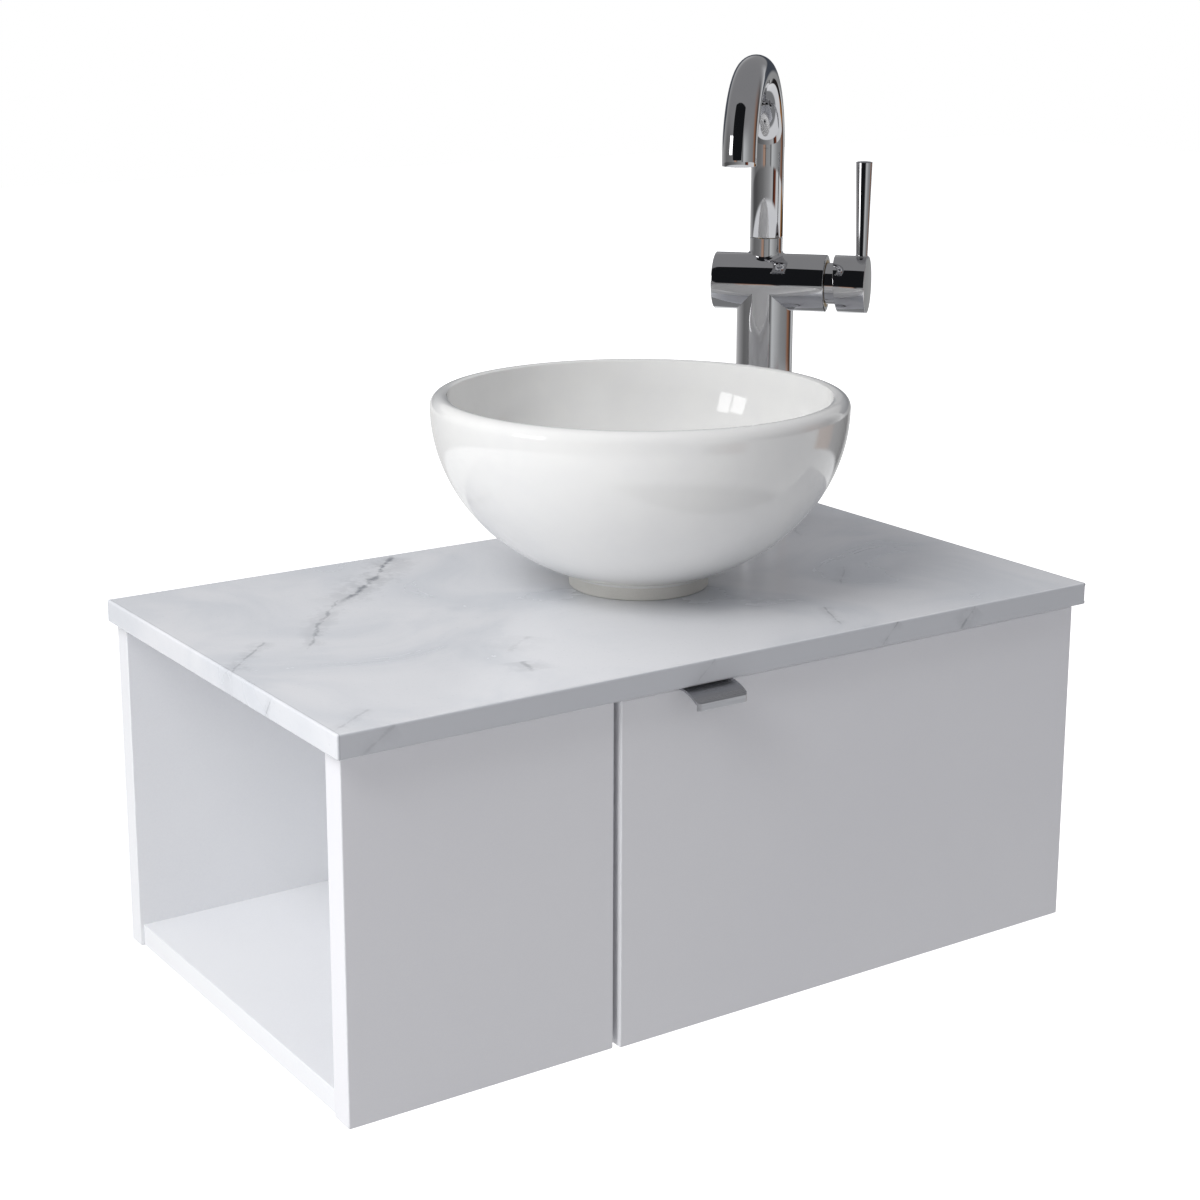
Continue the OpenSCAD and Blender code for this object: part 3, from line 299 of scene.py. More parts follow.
# each vein: start, end, width, wander, strength, bend, seed
top_veins = [
    vein((-0.078, -0.006, top), (-0.176, -0.104, top), 0.0042, 0.022, 0.85, 0.02, 0.0),
    vein((-0.165, -0.090, top), (-0.244, -0.192, top), 0.0022, 0.016, 0.6, -0.01, 2.0),
    vein((-0.254, -0.154, top), (-0.305, -0.208, top), 0.0018, 0.008, 0.6, 0.0, 5.0),
    vein((-0.136, -0.282, top), (-0.142, -0.305, top), 0.0030, 0.006, 0.55, 0.0, 7.0),
    vein((-0.104, -0.236, top), (-0.134, -0.262, top), 0.0042, 0.020, 0.22, 0.0, 8.0),
    vein((0.104, -0.290, top), (0.084, -0.331, top), 0.0012, 0.008, 0.5, 0.0, 9.0),
    vein((0.184, -0.214, top), (0.150, -0.253, top), 0.0014, 0.010, 0.35, 0.0, 11.0),
    vein((-0.262, -0.312, top), (-0.300, -0.338, top), 0.0020, 0.010, 0.3, 0.0, 13.0),
    vein((0.268, -0.020, top), (0.212, -0.130, top), 0.0020, 0.020, 0.3, 0.02, 15.0),
]
edge_veins = [
    vein((0.1925, front, top), (0.1780, front, under), 0.0020, 0.004, 0.6, 0.0, 21.0),
    vein((0.1240, front, top), (0.1090, front, under), 0.0011, 0.004, 0.5, 0.0, 22.0),
    vein((-0.262, front, top), (-0.286, front, under), 0.0020, 0.006, 0.25, 0.0, 23.0),
    vein((-0.030, front, top), (-0.048, front, under), 0.0012, 0.005, 0.25, 0.0, 24.0),
]
end_vein = vein((slab_low.x, -0.2600, top), (slab_low.x, -0.2485, under),
                0.0012, 0.004, 0.6, 0.0, 31.0)
on_end = sheet.step(split.outputs["X"], slab_low.x + near_face, slab_low.x + on_face)


def heaviest(masks):
    total = masks[0]
    for mask in masks[1:]:
        total = sheet.maths("MAXIMUM", total, mask)
    return total


veins = sheet.maths("MULTIPLY", heaviest(top_veins), sheet.maths("SUBTRACT", 1.0, on_front))
veins = sheet.maths("MAXIMUM", veins, sheet.maths("MULTIPLY", heaviest(edge_veins), on_front))
veins = sheet.maths("MAXIMUM", veins, sheet.maths("MULTIPLY", end_vein, on_end))
clouds = sheet.add("TexNoise", Vector=place, Scale=7.0, Detail=6.0, Roughness=0.55, Distortion=1.2)
fleck = sheet.add("TexNoise", Vector=place, Scale=420.0, Detail=2.0)
ground = sheet.blend(sheet.step(clouds.outputs[0], 0.38, 0.7),
                     paint(233, 234, 237), paint(217, 220, 225))
ground = sheet.blend(sheet.maths("MULTIPLY", sheet.step(fleck.outputs[0], 0.62, 0.74), 0.12),
                     ground, paint(176, 180, 188))
ground = sheet.blend(on_front, ground, paint(208, 210, 215))
stone = sheet.blend(veins, ground, paint(128, 131, 138))
# the joint between the pressed decor and the band, 1.8 mm in from each end
seam_in = 0.0018
seam_w = 0.00022
left_seam, right_seam = [
    sheet.maths("ABSOLUTE", sheet.maths("SUBTRACT", split.outputs["X"], at_x))
    for at_x in (slab_low.x + seam_in, slab_high.x - seam_in)]
seam = sheet.step(sheet.maths("MINIMUM", left_seam, right_seam),
                  seam_w * 0.5, seam_w * 1.6, 0.4, 0.0)
stone = sheet.blend(seam, stone, paint(140, 143, 150))
sheet.feed(surface.inputs["Base Color"], stone)
sheet.feed(surface.inputs["Roughness"], sheet.step(clouds.outputs[0], 0.3, 0.7, 0.2, 0.28))
bump = sheet.add("Bump", Height=fleck.outputs[0], Distance=0.000012)
bump.inputs["Strength"].default_value = 0.5
sheet.feed(surface.inputs["Normal"], bump.outputs["Normal"])
surface.inputs["Specular IOR Level"].default_value = 0.45
dress(marble, "countertop")

# ---- Fixed front and door ---------------------------------------------------------------
# Fibreboard, 19 mm, sanded and sprayed with a white satin lacquer on both sides. Its edges
# are rounded over a millimetre, so the lacquer catches a bright line along each of them.

lacquer = finish("satin_lacquer", paint(240, 240, 243), paint(237, 237, 241), 3, 1100,
                 (0.34, 0.40), relief=0.00001, Coat_Weight=0.2, Coat_Roughness=0.25)
dress(lacquer, "fixed_front", "door_panel")

# ---- Pull -------------------------------------------------------------------------------
# A tab of drawn aluminium, satin anodised, that hooks over the door's top edge. It arches
# forward to a short lip, and two countersunk screws hold its flange behind the door.

anodised = finish("satin_anodised", paint(186, 187, 191), paint(172, 173, 178), 30, 700,
                  (0.26, 0.36), relief=0.000008, stretch=(0.03, 1, 1), Metallic=1.0)
dress(anodised, "door_pull")

# ---- Hinges and bumpers -----------------------------------------------------------------
# Nickel-plated cup hinges: a drawn cup pressed in the door, a gooseneck on a real pin, and
# an arm on a plate screwed to the side panel. Clear elastic dots take the door's knock.

nickel = finish("nickel_plate", paint(206, 204, 198), paint(188, 186, 180), 60, 2000,
                (0.16, 0.28), relief=0.000006, Metallic=1.0)
dot = finish("elastic_dot", paint(214, 215, 214), paint(198, 200, 200), 300, 2500, (0.4, 0.5),
             relief=0.00001, Subsurface_Weight=0.1, Subsurface_Scale=0.001)
dress(nickel, "hinge_cups", "hinge_pins", "hinge_arms", "hinge_plates")
dress(dot, "door_bumpers")

# ---- Basin ------------------------------------------------------------------------------
# A slip-cast bowl of white vitreous china on a low foot, glazed inside and out. The glaze
# pools a little on the rolled lip, and the foot stays bare and slightly cream.

MM = 0.001
bowl_low, bowl_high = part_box("basin")
bowl_r = (bowl_high.x - bowl_low.x) / 2 / MM
bowl_h = (bowl_high.z - bowl_low.z) / MM
bowl_at = Vector(((bowl_low.x + bowl_high.x) / 2, (bowl_low.y + bowl_high.y) / 2, bowl_low.z))


def oval(across, down, level, start, stop, steps):
    """Points of a quarter oval as (radius, height), from one angle to another."""
    angles = [start + (stop - start) * step / steps for step in range(steps + 1)]
    return [(across * math.cos(a), level - down * math.sin(a)) for a in angles]


def turned(outline, steps=160, closed=True):
    """Spins a half outline of (radius, height) in millimetres about the upright axis."""
    bm = bmesh.new()
    verts = [bm.verts.new((radius, 0, height)) for radius, height in outline]
    for first, second in zip(verts, verts[1:]):
        bm.edges.new((first, second))
    if closed and outline[0][0] > 0 and outline[-1][0] > 0:
        bm.edges.new((verts[-1], verts[0]))
    bmesh.ops.spin(bm, geom=bm.verts[:] + bm.edges[:], cent=(0, 0, 0), axis=(0, 0, 1),
                   angle=math.tau, steps=steps, use_merge=True)
    bmesh.ops.remove_doubles(bm, verts=bm.verts, dist=0.0005)
    bmesh.ops.recalc_face_normals(bm, faces=bm.faces)
    return bm


def put(bm, at):
    """Brings a bmesh from millimetres to its place in the frame."""
    bmesh.ops.transform(bm, matrix=at @ Matrix.Scale(MM, 4), verts=bm.verts)
    return bm


def rounded(corner, radius, start, stop, steps=5):
    """Points of a round corner as (radius, height), from one angle in degrees to another."""
    x, y = corner
    angles = [math.radians(start + (stop - start) * step / steps) for step in range(steps + 1)]
    return [(x + radius * math.cos(a), y + radius * math.sin(a)) for a in angles]


belly = bowl_h - 8
foot_r, foot_h, recess, foot_in = 49.7, 10.0, 5.0, 39.7
wall = 12.0
inner_r = bowl_r - wall
floor_z = 15.0
drain_r, seat_r, seat_z = 22.5, 34.0, 12.0
out_down = (belly - foot_h) / math.sqrt(1 - (foot_r / bowl_r) ** 2)
foot_angle = math.acos((foot_r + 0.9) / bowl_r)
seat_angle = math.acos((seat_r + 1.6) / inner_r)
section = (
    [(foot_in, recess), (foot_in, 0.6), (foot_in + 0.6, 0)]
    + rounded((foot_r - 1.4, 1.4), 1.4, -90, 0)
    + [(foot_r, foot_h - 1.6), (foot_r + 0.15, foot_h - 0.9)]
    + oval(bowl_r, out_down, belly, foot_angle, 0, 44)
    + rounded((bowl_r - 8, belly), 8, 8, 90, 12)
    + rounded((bowl_r - 8, belly), 8, 92, 118, 4)
    + oval(inner_r, belly - floor_z, belly + 1, 0.0, seat_angle, 44)[1:]
    + [(seat_r + 0.6, floor_z - 0.3), (seat_r, floor_z - 1.1), (seat_r, seat_z),
       (drain_r + 0.5, seat_z), (drain_r, seat_z - 0.5), (drain_r, recess)])
bm = turned(section, steps=192)
for face in bm.faces:
    middle = face.calc_center_median()
    if middle.z < foot_h - 1.2 and Vector((middle.x, middle.y)).length > drain_r + 2:
        face.material_index = 1
glaze = finish("white_glaze", paint(243, 243, 241), paint(240, 240, 239), 9, 60, (0.035, 0.06),
               relief=0.00003, Specular_IOR_Level=0.55, Coat_Weight=0.5, Coat_Roughness=0.02)
bisque = finish("bare_foot", paint(228, 226, 220), paint(219, 217, 210), 30, 1500, (0.5, 0.62),
                relief=0.00002)
settle("glazed_bowl", put(bm, Matrix.Translation(bowl_at)), [glaze, bisque], "cabinet",
       "white_glaze", "basin")
rubber = finish("black_rubber", paint(34, 34, 36), paint(26, 26, 28), 120, 2600, (0.55, 0.7),
                relief=0.00002)
dress(rubber, "basin_gasket", "waste_seal", "plug_seal", "waste_washer")

# ---- Waste and plug ---------------------------------------------------------------------
# A turned brass click waste, chromed: its flange sits in the bowl's seat on a rubber ring,
# and a domed plug on a stem slides in a plastic guide. A nut under the countertop pulls it tight.

chrome = finish("chrome_plate", paint(205, 205, 207), paint(201, 201, 204), 14, 90,
                (0.025, 0.045), Metallic=1.0)
brass = finish("raw_brass", paint(196, 164, 96), paint(176, 142, 78), 50, 1800, (0.24, 0.36),
               relief=0.00001, Metallic=1.0)
white_plastic = finish("white_plastic", paint(236, 237, 236), paint(229, 230, 229), 20, 1400,
                       (0.3, 0.4), relief=0.00001)
waste_low, waste_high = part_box("waste_body")
flange_r = (waste_high.x - waste_low.x) / 2 / MM
flange_top = (waste_high.z - bowl_at.z) / MM
tube_end = (waste_low.z - bowl_at.z) / MM
tube_r, tube_in = 21.0, 17.5
outline = ([(tube_in, tube_end + 0.6), (tube_in + 0.6, tube_end), (tube_r - 0.6, tube_end),
            (tube_r, tube_end + 0.6), (tube_r, flange_top - 2.5), (flange_r, flange_top - 2.5)]
           + rounded((flange_r - 1.8, flange_top - 1.8), 1.8, 0, 90)
           + rounded((tube_in + 2, flange_top - 2), 2, 90, 180))
settle("waste_flange", put(turned(outline, 96), Matrix.Translation(bowl_at)), [chrome],
       "cabinet", "chrome", "waste_body")
plug_low, plug_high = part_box("waste_plug")
plug_r = (plug_high.x - plug_low.x) / 2 / MM
plug_top = (plug_high.z - bowl_at.z) / MM
stem_end = (plug_low.z - bowl_at.z) / MM
dome = [(plug_r * math.cos(math.radians(a)), plug_top - 4 + 4 * math.sin(math.radians(a)))
        for a in range(6, 90, 7)]
outline = ([(0, stem_end), (3.4, stem_end), (4, stem_end + 0.6), (4, plug_top - 5),
            (plug_r - 1, plug_top - 5), (plug_r - 0.2, plug_top - 4.6)] + dome + [(0, plug_top)])
settle("plug_dome", put(turned(outline, 96), Matrix.Translation(bowl_at)), [chrome], "plug",
       "chrome", "waste_plug")
dress(white_plastic, "plug_guide")
dress(brass, "waste_nut")

# ---- Trap -------------------------------------------------------------------------------
# A bottle trap moulded in white polypropylene: ribbed nuts that tighten by hand, a cup that
# unscrews for cleaning, and a straight tube to the waste in the wall.

dress(white_plastic, "trap_inlet_nut", "trap_tailpiece", "trap_body", "trap_cup",
      "trap_outlet_nut", "trap_outlet_tube")
dress(rubber, "trap_seals")

# ---- Mixer body -------------------------------------------------------------------------
# A brass casting turned and chromed: a column with a cross body mitred on it and a short
# stub for the spout. A ring hides the hole, and a threaded shank, washer and nut clamp it.

ring_low, ring_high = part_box("mixer_base_ring")
joints = {joint["name"]: joint for joint in frame["record"]["behaviour"]["joints"]}
lever_way = joints["lever_temperature"]["axis"]
mixer_turn = math.atan2(lever_way[1], lever_way[0])
mixer_at = (Matrix.Translation(((ring_low.x + ring_high.x) / 2, (ring_low.y + ring_high.y) / 2,
                                ring_low.z)) @ Matrix.Rotation(mixer_turn, 4, "Z"))
base_r = (ring_high.x - ring_low.x) / 2 / MM
base_h = (ring_high.z - ring_low.z) / MM
ring_in = 16
outline = ([(ring_in, 0), (base_r - 0.4, 0), (base_r, 0.4), (base_r, base_h - 1.6)]
           + rounded((base_r - 1.6, base_h - 1.6), 1.6, 0, 90)[1:] + [(ring_in, base_h)])
settle("base_ring", put(turned(outline, 96), mixer_at), [chrome], "cabinet", "chrome",
       "mixer_base_ring")

column_r, cross_r, stub_r = 22.0, 22.1, 12.75
axis_h = (joints["lever_temperature"]["pos_m"][2] - ring_low.z) / MM
stub_top = (joints["spout_swivel"]["pos_m"][2] - ring_low.z) / MM
cross_left, cross_right = 39.3, 48.0
lie_along_x = Matrix.Translation((0, 0, axis_h)) @ Matrix.Rotation(math.pi / 2, 4, "Y")


def solid(name, bm):
    """Loose object of a bmesh, used while a casting is joined up."""
    mesh = bpy.data.meshes.new(name)
    bm.to_mesh(mesh)
    bm.free()
    made = bpy.data.objects.new(name, mesh)
    bpy.context.collection.objects.link(made)
    return made


def cast(base, *tools):
    """Joins or cuts solids one after another: each tool is (object, operation)."""
    for tool, operation in tools:
        cut = base.modifiers.new("cast", "BOOLEAN")
        cut.operation = operation
        cut.solver = "EXACT"
        cut.object = tool
    view = bpy.context.evaluated_depsgraph_get()
    bm = bmesh.new()
    bm.from_object(base, view)
    for used in [base] + [tool for tool, _ in tools]:
        bpy.data.objects.remove(used)
    return bm


column = turned([(0, base_h), (column_r, base_h), (column_r, axis_h), (0, axis_h)], 180)
cross = turned([(0, -cross_left), (cross_r - 0.5, -cross_left),
                (cross_r - 0.15, -cross_left + 0.15), (cross_r, -cross_left + 0.5),
                (cross_r, cross_right - 0.5), (cross_r - 0.15, cross_right - 0.15),
                (cross_r - 0.5, cross_right), (0, cross_right)], 180)
bmesh.ops.transform(cross, matrix=lie_along_x, verts=cross.verts)
stub = turned([(0, axis_h), (stub_r, axis_h), (stub_r, stub_top - 0.4), (stub_r - 0.4, stub_top),
               (0, stub_top)], 128)
cup_r, cup_floor = 18.3, 12
cup = turned([(0, cup_floor), (cup_r, cup_floor), (cup_r, cross_right + 2),
              (0, cross_right + 2)], 128)
bmesh.ops.transform(cup, matrix=lie_along_x, verts=cup.verts)
nipple_r, nipple_floor = 8.5, axis_h + 19
spout_hole = turned([(0, nipple_floor), (nipple_r, nipple_floor), (nipple_r, stub_top + 1),
                     (0, stub_top + 1)], 96)
shank_r, shank_end, hose_r, hose_top = 16, base_h + 20, 17, 150
shank_hole = turned([(0, base_h - 1), (shank_r, base_h - 1), (shank_r, shank_end),
                     (hose_r, shank_end), (hose_r, hose_top), (0, hose_top)], 96)
bm = cast(solid("column", column), (solid("cross", cross), "UNION"), (solid("stub", stub), "UNION"),
          (solid("cup", cup), "DIFFERENCE"), (solid("hole", spout_hole), "DIFFERENCE"),
          (solid("shank_hole", shank_hole), "DIFFERENCE"))
settle("mixer_casting", put(bm, mixer_at), [chrome], "cabinet", "chrome", "mixer_body", crease=24)

# The stub's root: a small fillet that runs round on the cross body
fillet, sunk = 2.6, 0.03
root_in, root_under = stub_r - 0.4, -0.6
outline = (rounded((stub_r + fillet, fillet), fillet, 270, 180, 8)
           + [(root_in, fillet), (root_in, root_under)])
bm = turned(outline, 128)
for vert in bm.verts:
    vert.co.z += axis_h - sunk + math.sqrt(cross_r ** 2 - vert.co.y ** 2)
settle("stub_root", put(bm, mixer_at), [chrome], "cabinet", "chrome", "mixer_body", crease=60)

dress(rubber, "mixer_base_gasket", "mixer_washer")
dress(brass, "mixer_shank", "mixer_nut")

# ---- Cartridge and lever ----------------------------------------------------------------
# A ceramic cartridge held by a brass nut. Its turning head carries a pin, on which the
# lever's spindle tilts; a grub screw holds the hollow knob on the spindle.

blue_plastic = finish("blue_plastic", paint(62, 104, 150), paint(52, 92, 138), 60, 1500, (0.3, 0.4),
                      relief=0.00001)
steel = finish("bright_steel", paint(190, 191, 194), paint(170, 171, 175), 90, 2200, (0.14, 0.26),
               relief=0.000005, Metallic=1.0)
dress(blue_plastic, "cartridge")
dress(brass, "cartridge_nut")
dress(chrome, "lever_turntable")
dress(steel, "lever_pin", "lever_spindle", "lever_set_screw")

knob_end, knob_bore, knob_floor = 80.0, cross_r - 1.8, cross_right + 15.5
slant_top, slant_bottom = cross_right + 6, cross_right + 10
uncut_end = 44  # the tube before the groove is sawn
outline = ([(0, knob_floor), (knob_bore - 1, knob_floor), (knob_bore, knob_floor - 1),
            (knob_bore, uncut_end), (cross_r, uncut_end), (cross_r, knob_end - 0.8)]
           + rounded((cross_r - 0.8, knob_end - 0.8), 0.8, 0, 90, 4)[1:] + [(0, knob_end)])
bm = turned(outline, 180, closed=False)
bmesh.ops.transform(bm, matrix=lie_along_x, verts=bm.verts)
slope = Vector((slant_bottom - slant_top, 0, -2 * cross_r - 2)).normalized()
slant = Vector((slope.z, 0, -slope.x))
cut = bmesh.ops.bisect_plane(bm, geom=bm.verts[:] + bm.edges[:] + bm.faces[:], dist=0.0001,
                             plane_co=(slant_top, 0, axis_h + cross_r + 1), plane_no=slant,
                             clear_outer=slant.x < 0, clear_inner=slant.x > 0)
rim = [item for item in cut["geom_cut"] if isinstance(item, bmesh.types.BMEdge)]
bmesh.ops.bridge_loops(bm, edges=rim)
rim = [edge for edge in bm.edges if len(edge.link_faces) == 2 and edge.calc_face_angle() > 1.0
       and max(vert.co.x for vert in edge.verts) < slant_bottom + 1.5]
bmesh.ops.bevel(bm, geom=rim, offset=0.35, offset_type="OFFSET", affect="EDGES", segments=2,
                profile=0.5, material=-1, clamp_overlap=True)
bmesh.ops.recalc_face_normals(bm, faces=bm.faces)
settle("knob_shell", put(bm, mixer_at), [chrome], "lever", "chrome", "lever_knob", crease=30)

rod_x, rod_low_r, rod_tip_r = knob_end - 5.3, 4.5, 6.3
rod_top = (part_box("lever_rod")[1].z - ring_low.z) / MM
root_z = axis_h + cross_r
stud_r, tip_round = 2.5, 0.7
flare = [(rod_low_r + 1.2 - 1.15 * math.sin(math.radians(a)),
          root_z + 0.9 - 1.3 * math.cos(math.radians(a))) for a in range(0, 91, 18)]
outline = ([(0, root_z - 6), (stud_r, root_z - 6), (stud_r, root_z - 1),
            (rod_low_r + 1.1, root_z - 0.6)]
           + flare + [(rod_tip_r, rod_top - tip_round)]
           + rounded((rod_tip_r - tip_round, rod_top - tip_round), tip_round, 0, 90, 4)[1:]
           + [(0, rod_top)])
bm = turned(outline, 96, closed=False)
bmesh.ops.translate(bm, vec=(rod_x, 0, 0), verts=bm.verts)
settle("lever_handle", put(bm, mixer_at), [chrome], "lever", "chrome", "lever_rod", crease=40)

# ---- Spout ------------------------------------------------------------------------------
# A chromed brass tube bent to a cane. It turns on a brass nipple with two rubber rings, a
# plastic bush and a spring clip, and ends square over the bowl.

grey_plastic = finish("grey_plastic", paint(120, 123, 128), paint(104, 107, 112), 80, 1500,
                      (0.35, 0.45), relief=0.00001)
dress(brass, "spout_nipple")
dress(rubber, "spout_orings")
dress(steel, "spout_clip")
dress(white_plastic, "spout_bush")
spout_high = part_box("spout_tube")[1]
bend_r, tube_wall, outlet_len, joint_gap = 59.0, 1.5, 5.5, 0.3
spout_r = stub_r
bend_h = (spout_high.z - ring_low.z) / MM - bend_r - spout_r
bm = bmesh.new()
bmesh.ops.create_circle(bm, radius=spout_r, segments=96, cap_ends=False)
bmesh.ops.translate(bm, vec=(0, 0, stub_top + joint_gap), verts=bm.verts)
out = bmesh.ops.extrude_edge_only(bm, edges=bm.edges[:])["geom"]
ring = [item for item in out if isinstance(item, bmesh.types.BMVert)]
bmesh.ops.translate(bm, vec=(0, 0, bend_h - stub_top - joint_gap), verts=ring)
ring_edges = [item for item in out if isinstance(item, bmesh.types.BMEdge)]
out = bmesh.ops.spin(bm, geom=ring + ring_edges, cent=(0, -bend_r, bend_h), axis=(1, 0, 0),
                     angle=math.pi, steps=72)["geom_last"]
ring_edges = [item for item in out if isinstance(item, bmesh.types.BMEdge)]
out = bmesh.ops.extrude_edge_only(bm, edges=ring_edges)["geom"]
ring = [item for item in out if isinstance(item, bmesh.types.BMVert)]
bmesh.ops.translate(bm, vec=(0, 0, -outlet_len), verts=ring)
bmesh.ops.remove_doubles(bm, verts=bm.verts, dist=0.001)
bmesh.ops.recalc_face_normals(bm, faces=bm.faces)
spout = settle("spout_cane", put(bm, mixer_at), [chrome], "spout", "chrome", "spout_tube",
               crease=40)
walls = spout.modifiers.new("wall", "SOLIDIFY")
walls.thickness = tube_wall * MM
walls.offset = -1
soft = spout.modifiers.new("rim", "BEVEL")
soft.width = 0.0003
soft.segments = 2
soft.limit_method = "ANGLE"
soft.angle_limit = math.radians(50)
dress(grey_plastic, "aerator_housing", "aerator_insert")

# ---- Studio -----------------------------------------------------------------------------
# The vanity hangs as on its wall, 60 cm above a plain pale floor. A large soft light stands
# at the left and above, and the room gives the rest.

floor_bm = bmesh.new()
bmesh.ops.create_grid(floor_bm, x_segments=1, y_segments=1, size=12)
bmesh.ops.translate(floor_bm, vec=(0, 0, -0.6), verts=floor_bm.verts)
floor_mesh = bpy.data.meshes.new("pale_floor")
floor_bm.to_mesh(floor_mesh)
floor_bm.free()
pale_floor = bpy.data.objects.new("pale_floor", floor_mesh)
bpy.context.collection.objects.link(pale_floor)
pale_floor.visible_glossy = False
floor_paint = bpy.data.materials.new("floor_paint")
floor_paint.use_nodes = True
floor_shader = floor_paint.node_tree.nodes["Principled BSDF"]
floor_shader.inputs["Base Color"].default_value = (0.8, 0.8, 0.8, 1)
floor_shader.inputs["Roughness"].default_value = 0.9
floor_shader.inputs["Emission Color"].default_value = (1, 1, 1, 1)
floor_sheet = Sheet(floor_paint.node_tree)
floor_ray = floor_sheet.add("LightPath").outputs["Is Camera Ray"]
floor_sheet.feed(floor_shader.inputs["Emission Strength"],
                 floor_sheet.maths("MULTIPLY", floor_ray, 0.9))
floor_mesh.materials.append(floor_paint)

lens = bpy.data.cameras.new("camera")
lens.lens = 67.63
lens.sensor_width = 36
lens.shift_x = 0.0168
lens.shift_y = -0.08
camera = bpy.data.objects.new("camera", lens)
camera.location = (-0.8586, -1.4390, 0.6784)
camera.rotation_euler = (math.radians(90 - 13.259), 0, -math.radians(33.506))
bpy.context.collection.objects.link(camera)
bpy.context.scene.camera = camera


def softbox(name, at, aim, size, watts, tint=(1, 1, 1)):
    """Area light at a place, turned towards a point."""
    data = bpy.data.lights.new(name, "AREA")
    data.shape = "RECTANGLE"
    data.size, data.size_y = size
    data.energy = watts
    data.color = tint
    lamp = bpy.data.objects.new(name, data)
    lamp.location = at
    lamp.rotation_euler = (Vector(aim) - Vector(at)).to_track_quat("-Z", "Y").to_euler()
    bpy.context.collection.objects.link(lamp)
    return lamp


key = softbox("key", (-1.68, -0.55, 1.9), (0, -0.17, 0.2), (1.1, 1.1), 28)
key.visible_glossy = False
softbox("shelf", (-1.3, -0.5, 0.3), (-0.1, -0.1, 0.14), (0.5, 0.35), 3.4).visible_glossy = False

world = bpy.data.worlds.new("room")
world.use_nodes = True
bpy.context.scene.world = world
sheet = Sheet(world.node_tree)
world.node_tree.nodes.clear()
view_ray = sheet.add("LightPath")
direction = sheet.add("TexCoord").outputs["Generated"]
height = sheet.add("SeparateXYZ", Vector=direction).outputs["Z"]
# what polished metal sees: walls, a dark doorway behind the viewer, a pale ceiling, a window
camera_turn = math.atan2(camera.location.y, camera.location.x)
spun = sheet.add("Mapping", Vector=direction)
spun.inputs["Rotation"].default_value = (0, 0, -camera_turn)
turn = sheet.add("TexGradient", {"gradient_type": "RADIAL"},
                 Vector=spun.outputs["Vector"]).outputs[1]


def walls(stops):
    """Tones round the room: each stop is (angle from the camera in degrees, colour chip)."""
    node = sheet.add("ValToRGB", Fac=turn)
    elements = node.color_ramp.elements
    for index, (angle, chip) in enumerate(stops):
        element = elements[index] if index < 2 else elements.new(angle / 360 + 0.5)
        element.position = angle / 360 + 0.5
        element.color = paint(*chip)
    return node.outputs["Color"]


# the turning order of the stops: from behind the vanity's left, past the camera, to the right
low_walls = walls([
    (-180, (190, 190, 190)), (-140, (140, 140, 140)), (-110, (74, 74, 74)),
    (-90, (74, 74, 74)), (-40, (102, 102, 102)), (0, (134, 134, 134)),
    (30, (165, 166, 166)), (34, (26, 24, 24)), (43, (88, 46, 32)), (52, (104, 56, 36)),
    (57, (186, 188, 188)), (105, (200, 201, 201)), (110, (146, 102, 54)), (122, (120, 80, 42)),
    (127, (30, 27, 26)), (150, (28, 26, 26)), (157, (150, 150, 150)), (180, (190, 190, 190))])
high_walls = walls([
    (-180, (190, 190, 190)), (-140, (150, 150, 150)), (-100, (96, 96, 96)),
    (-58, (108, 108, 108)), (-42, (124, 122, 122)), (-39, (148, 120, 104)),
    (-26, (156, 130, 114)), (-23, (38, 34, 34)), (-19, (128, 129, 129)), (8, (138, 139, 139)),
    (12, (62, 62, 62)), (22, (178, 180, 180)), (60, (130, 131, 131)), (88, (118, 118, 118)),
    (100, (130, 92, 70)), (118, (44, 40, 40)), (135, (196, 197, 197)), (144, (124, 125, 125)),
    (168, (122, 122, 122)), (180, (190, 190, 190))])


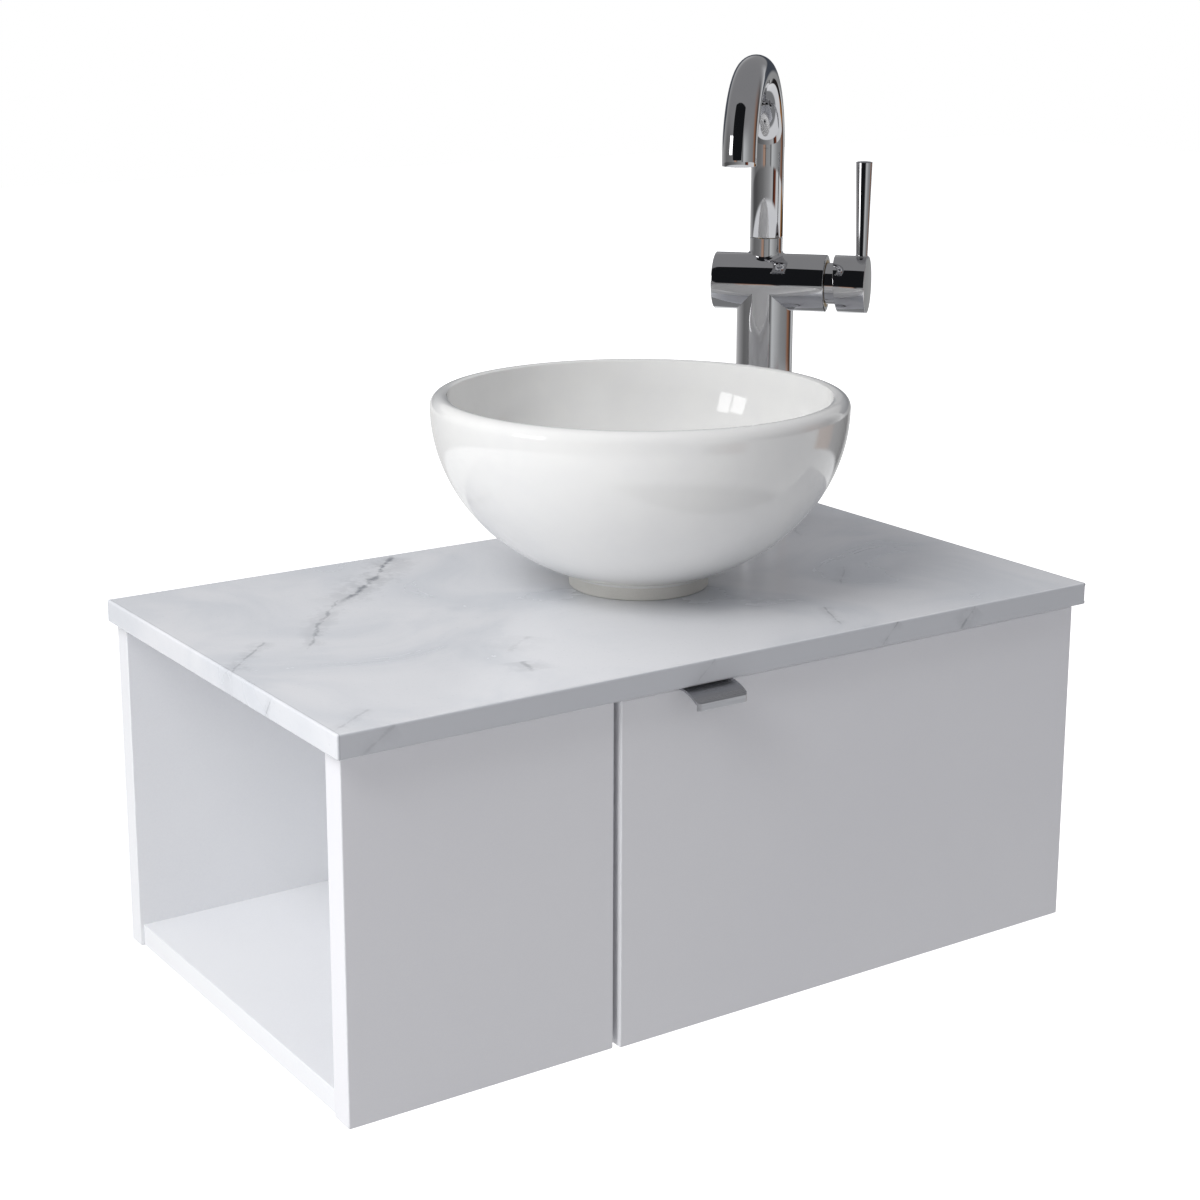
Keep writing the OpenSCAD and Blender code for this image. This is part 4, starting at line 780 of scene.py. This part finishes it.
def patch_of(azimuth, elevation, half_wide, half_high, soft=0.02):
    """Mask of a rectangle in the room, seen from the vanity; its sides are in tangents."""
    way = sheet.add("Mapping", Vector=direction)
    way.inputs["Rotation"].default_value = (0, 0, -camera_turn - math.radians(azimuth))
    dip = sheet.add("Mapping", Vector=way.outputs["Vector"])
    dip.inputs["Rotation"].default_value = (0, math.radians(elevation), 0)
    axes = sheet.add("SeparateXYZ", Vector=dip.outputs["Vector"])
    ahead = sheet.maths("MAXIMUM", axes.outputs["X"], 0.001)
    wide = sheet.maths("ABSOLUTE", sheet.maths("DIVIDE", axes.outputs["Y"], ahead))
    high = sheet.maths("ABSOLUTE", sheet.maths("DIVIDE", axes.outputs["Z"], ahead))
    return sheet.maths("MULTIPLY", sheet.step(wide, half_wide, half_wide + soft, 1.0, 0.0),
                       sheet.step(high, half_high, half_high + soft, 1.0, 0.0))


room = sheet.blend(sheet.step(height, -0.185, -0.165), low_walls, high_walls)
room = sheet.blend(sheet.step(height, 0.06, 0.60), room, paint(120, 120, 121))
room = sheet.blend(patch_of(-22, 29, 0.62, 0.67, 0.03), room, paint(20, 21, 23))
room = sheet.blend(sheet.step(height, -0.31, -0.34), room, paint(196, 197, 198))
room = sheet.blend(sheet.step(height, -0.60, -0.68), room, paint(112, 113, 114))
# the wall behind the vanity is dark low down, so the countertop's far side turns blue grey
low_wall = sheet.maths("MULTIPLY", patch_of(180, 8, 0.9, 0.115, 0.10), 0.9)
room = sheet.blend(low_wall, room, paint(40, 46, 56))
panes = sheet.maths("MAXIMUM", patch_of(-60, 10, 0.06, 0.16), patch_of(-70, 9, 0.07, 0.15))
room = sheet.blend(panes, room, (2.4, 2.4, 2.4, 1))
seen = sheet.add("Background", Color=room, Strength=1.6)
depth = sheet.add("SeparateXYZ", Vector=direction).outputs["Y"]
ambient_tone = sheet.blend(sheet.step(depth, -0.9, 0.3),
                           (0.285, 0.285, 0.297, 1), (0.63, 0.63, 0.645, 1))
ambient = sheet.add("Background", Color=ambient_tone, Strength=1.0)
backdrop = sheet.add("Background", Strength=1.0)
backdrop.inputs["Color"].default_value = (1, 1, 1, 1)


def choose(factor, first, second):
    node = world.node_tree.nodes.new("ShaderNodeMixShader")
    for socket, value in zip(node.inputs, (factor, first, second)):
        world.node_tree.links.new(value, socket)
    return node.outputs[0]


lit = choose(view_ray.outputs["Is Glossy Ray"], ambient.outputs[0], seen.outputs[0])
shown = choose(view_ray.outputs["Is Camera Ray"], lit, backdrop.outputs[0])
sheet.add("OutputWorld", Surface=shown)
bpy.context.scene.view_settings.view_transform = "Standard"
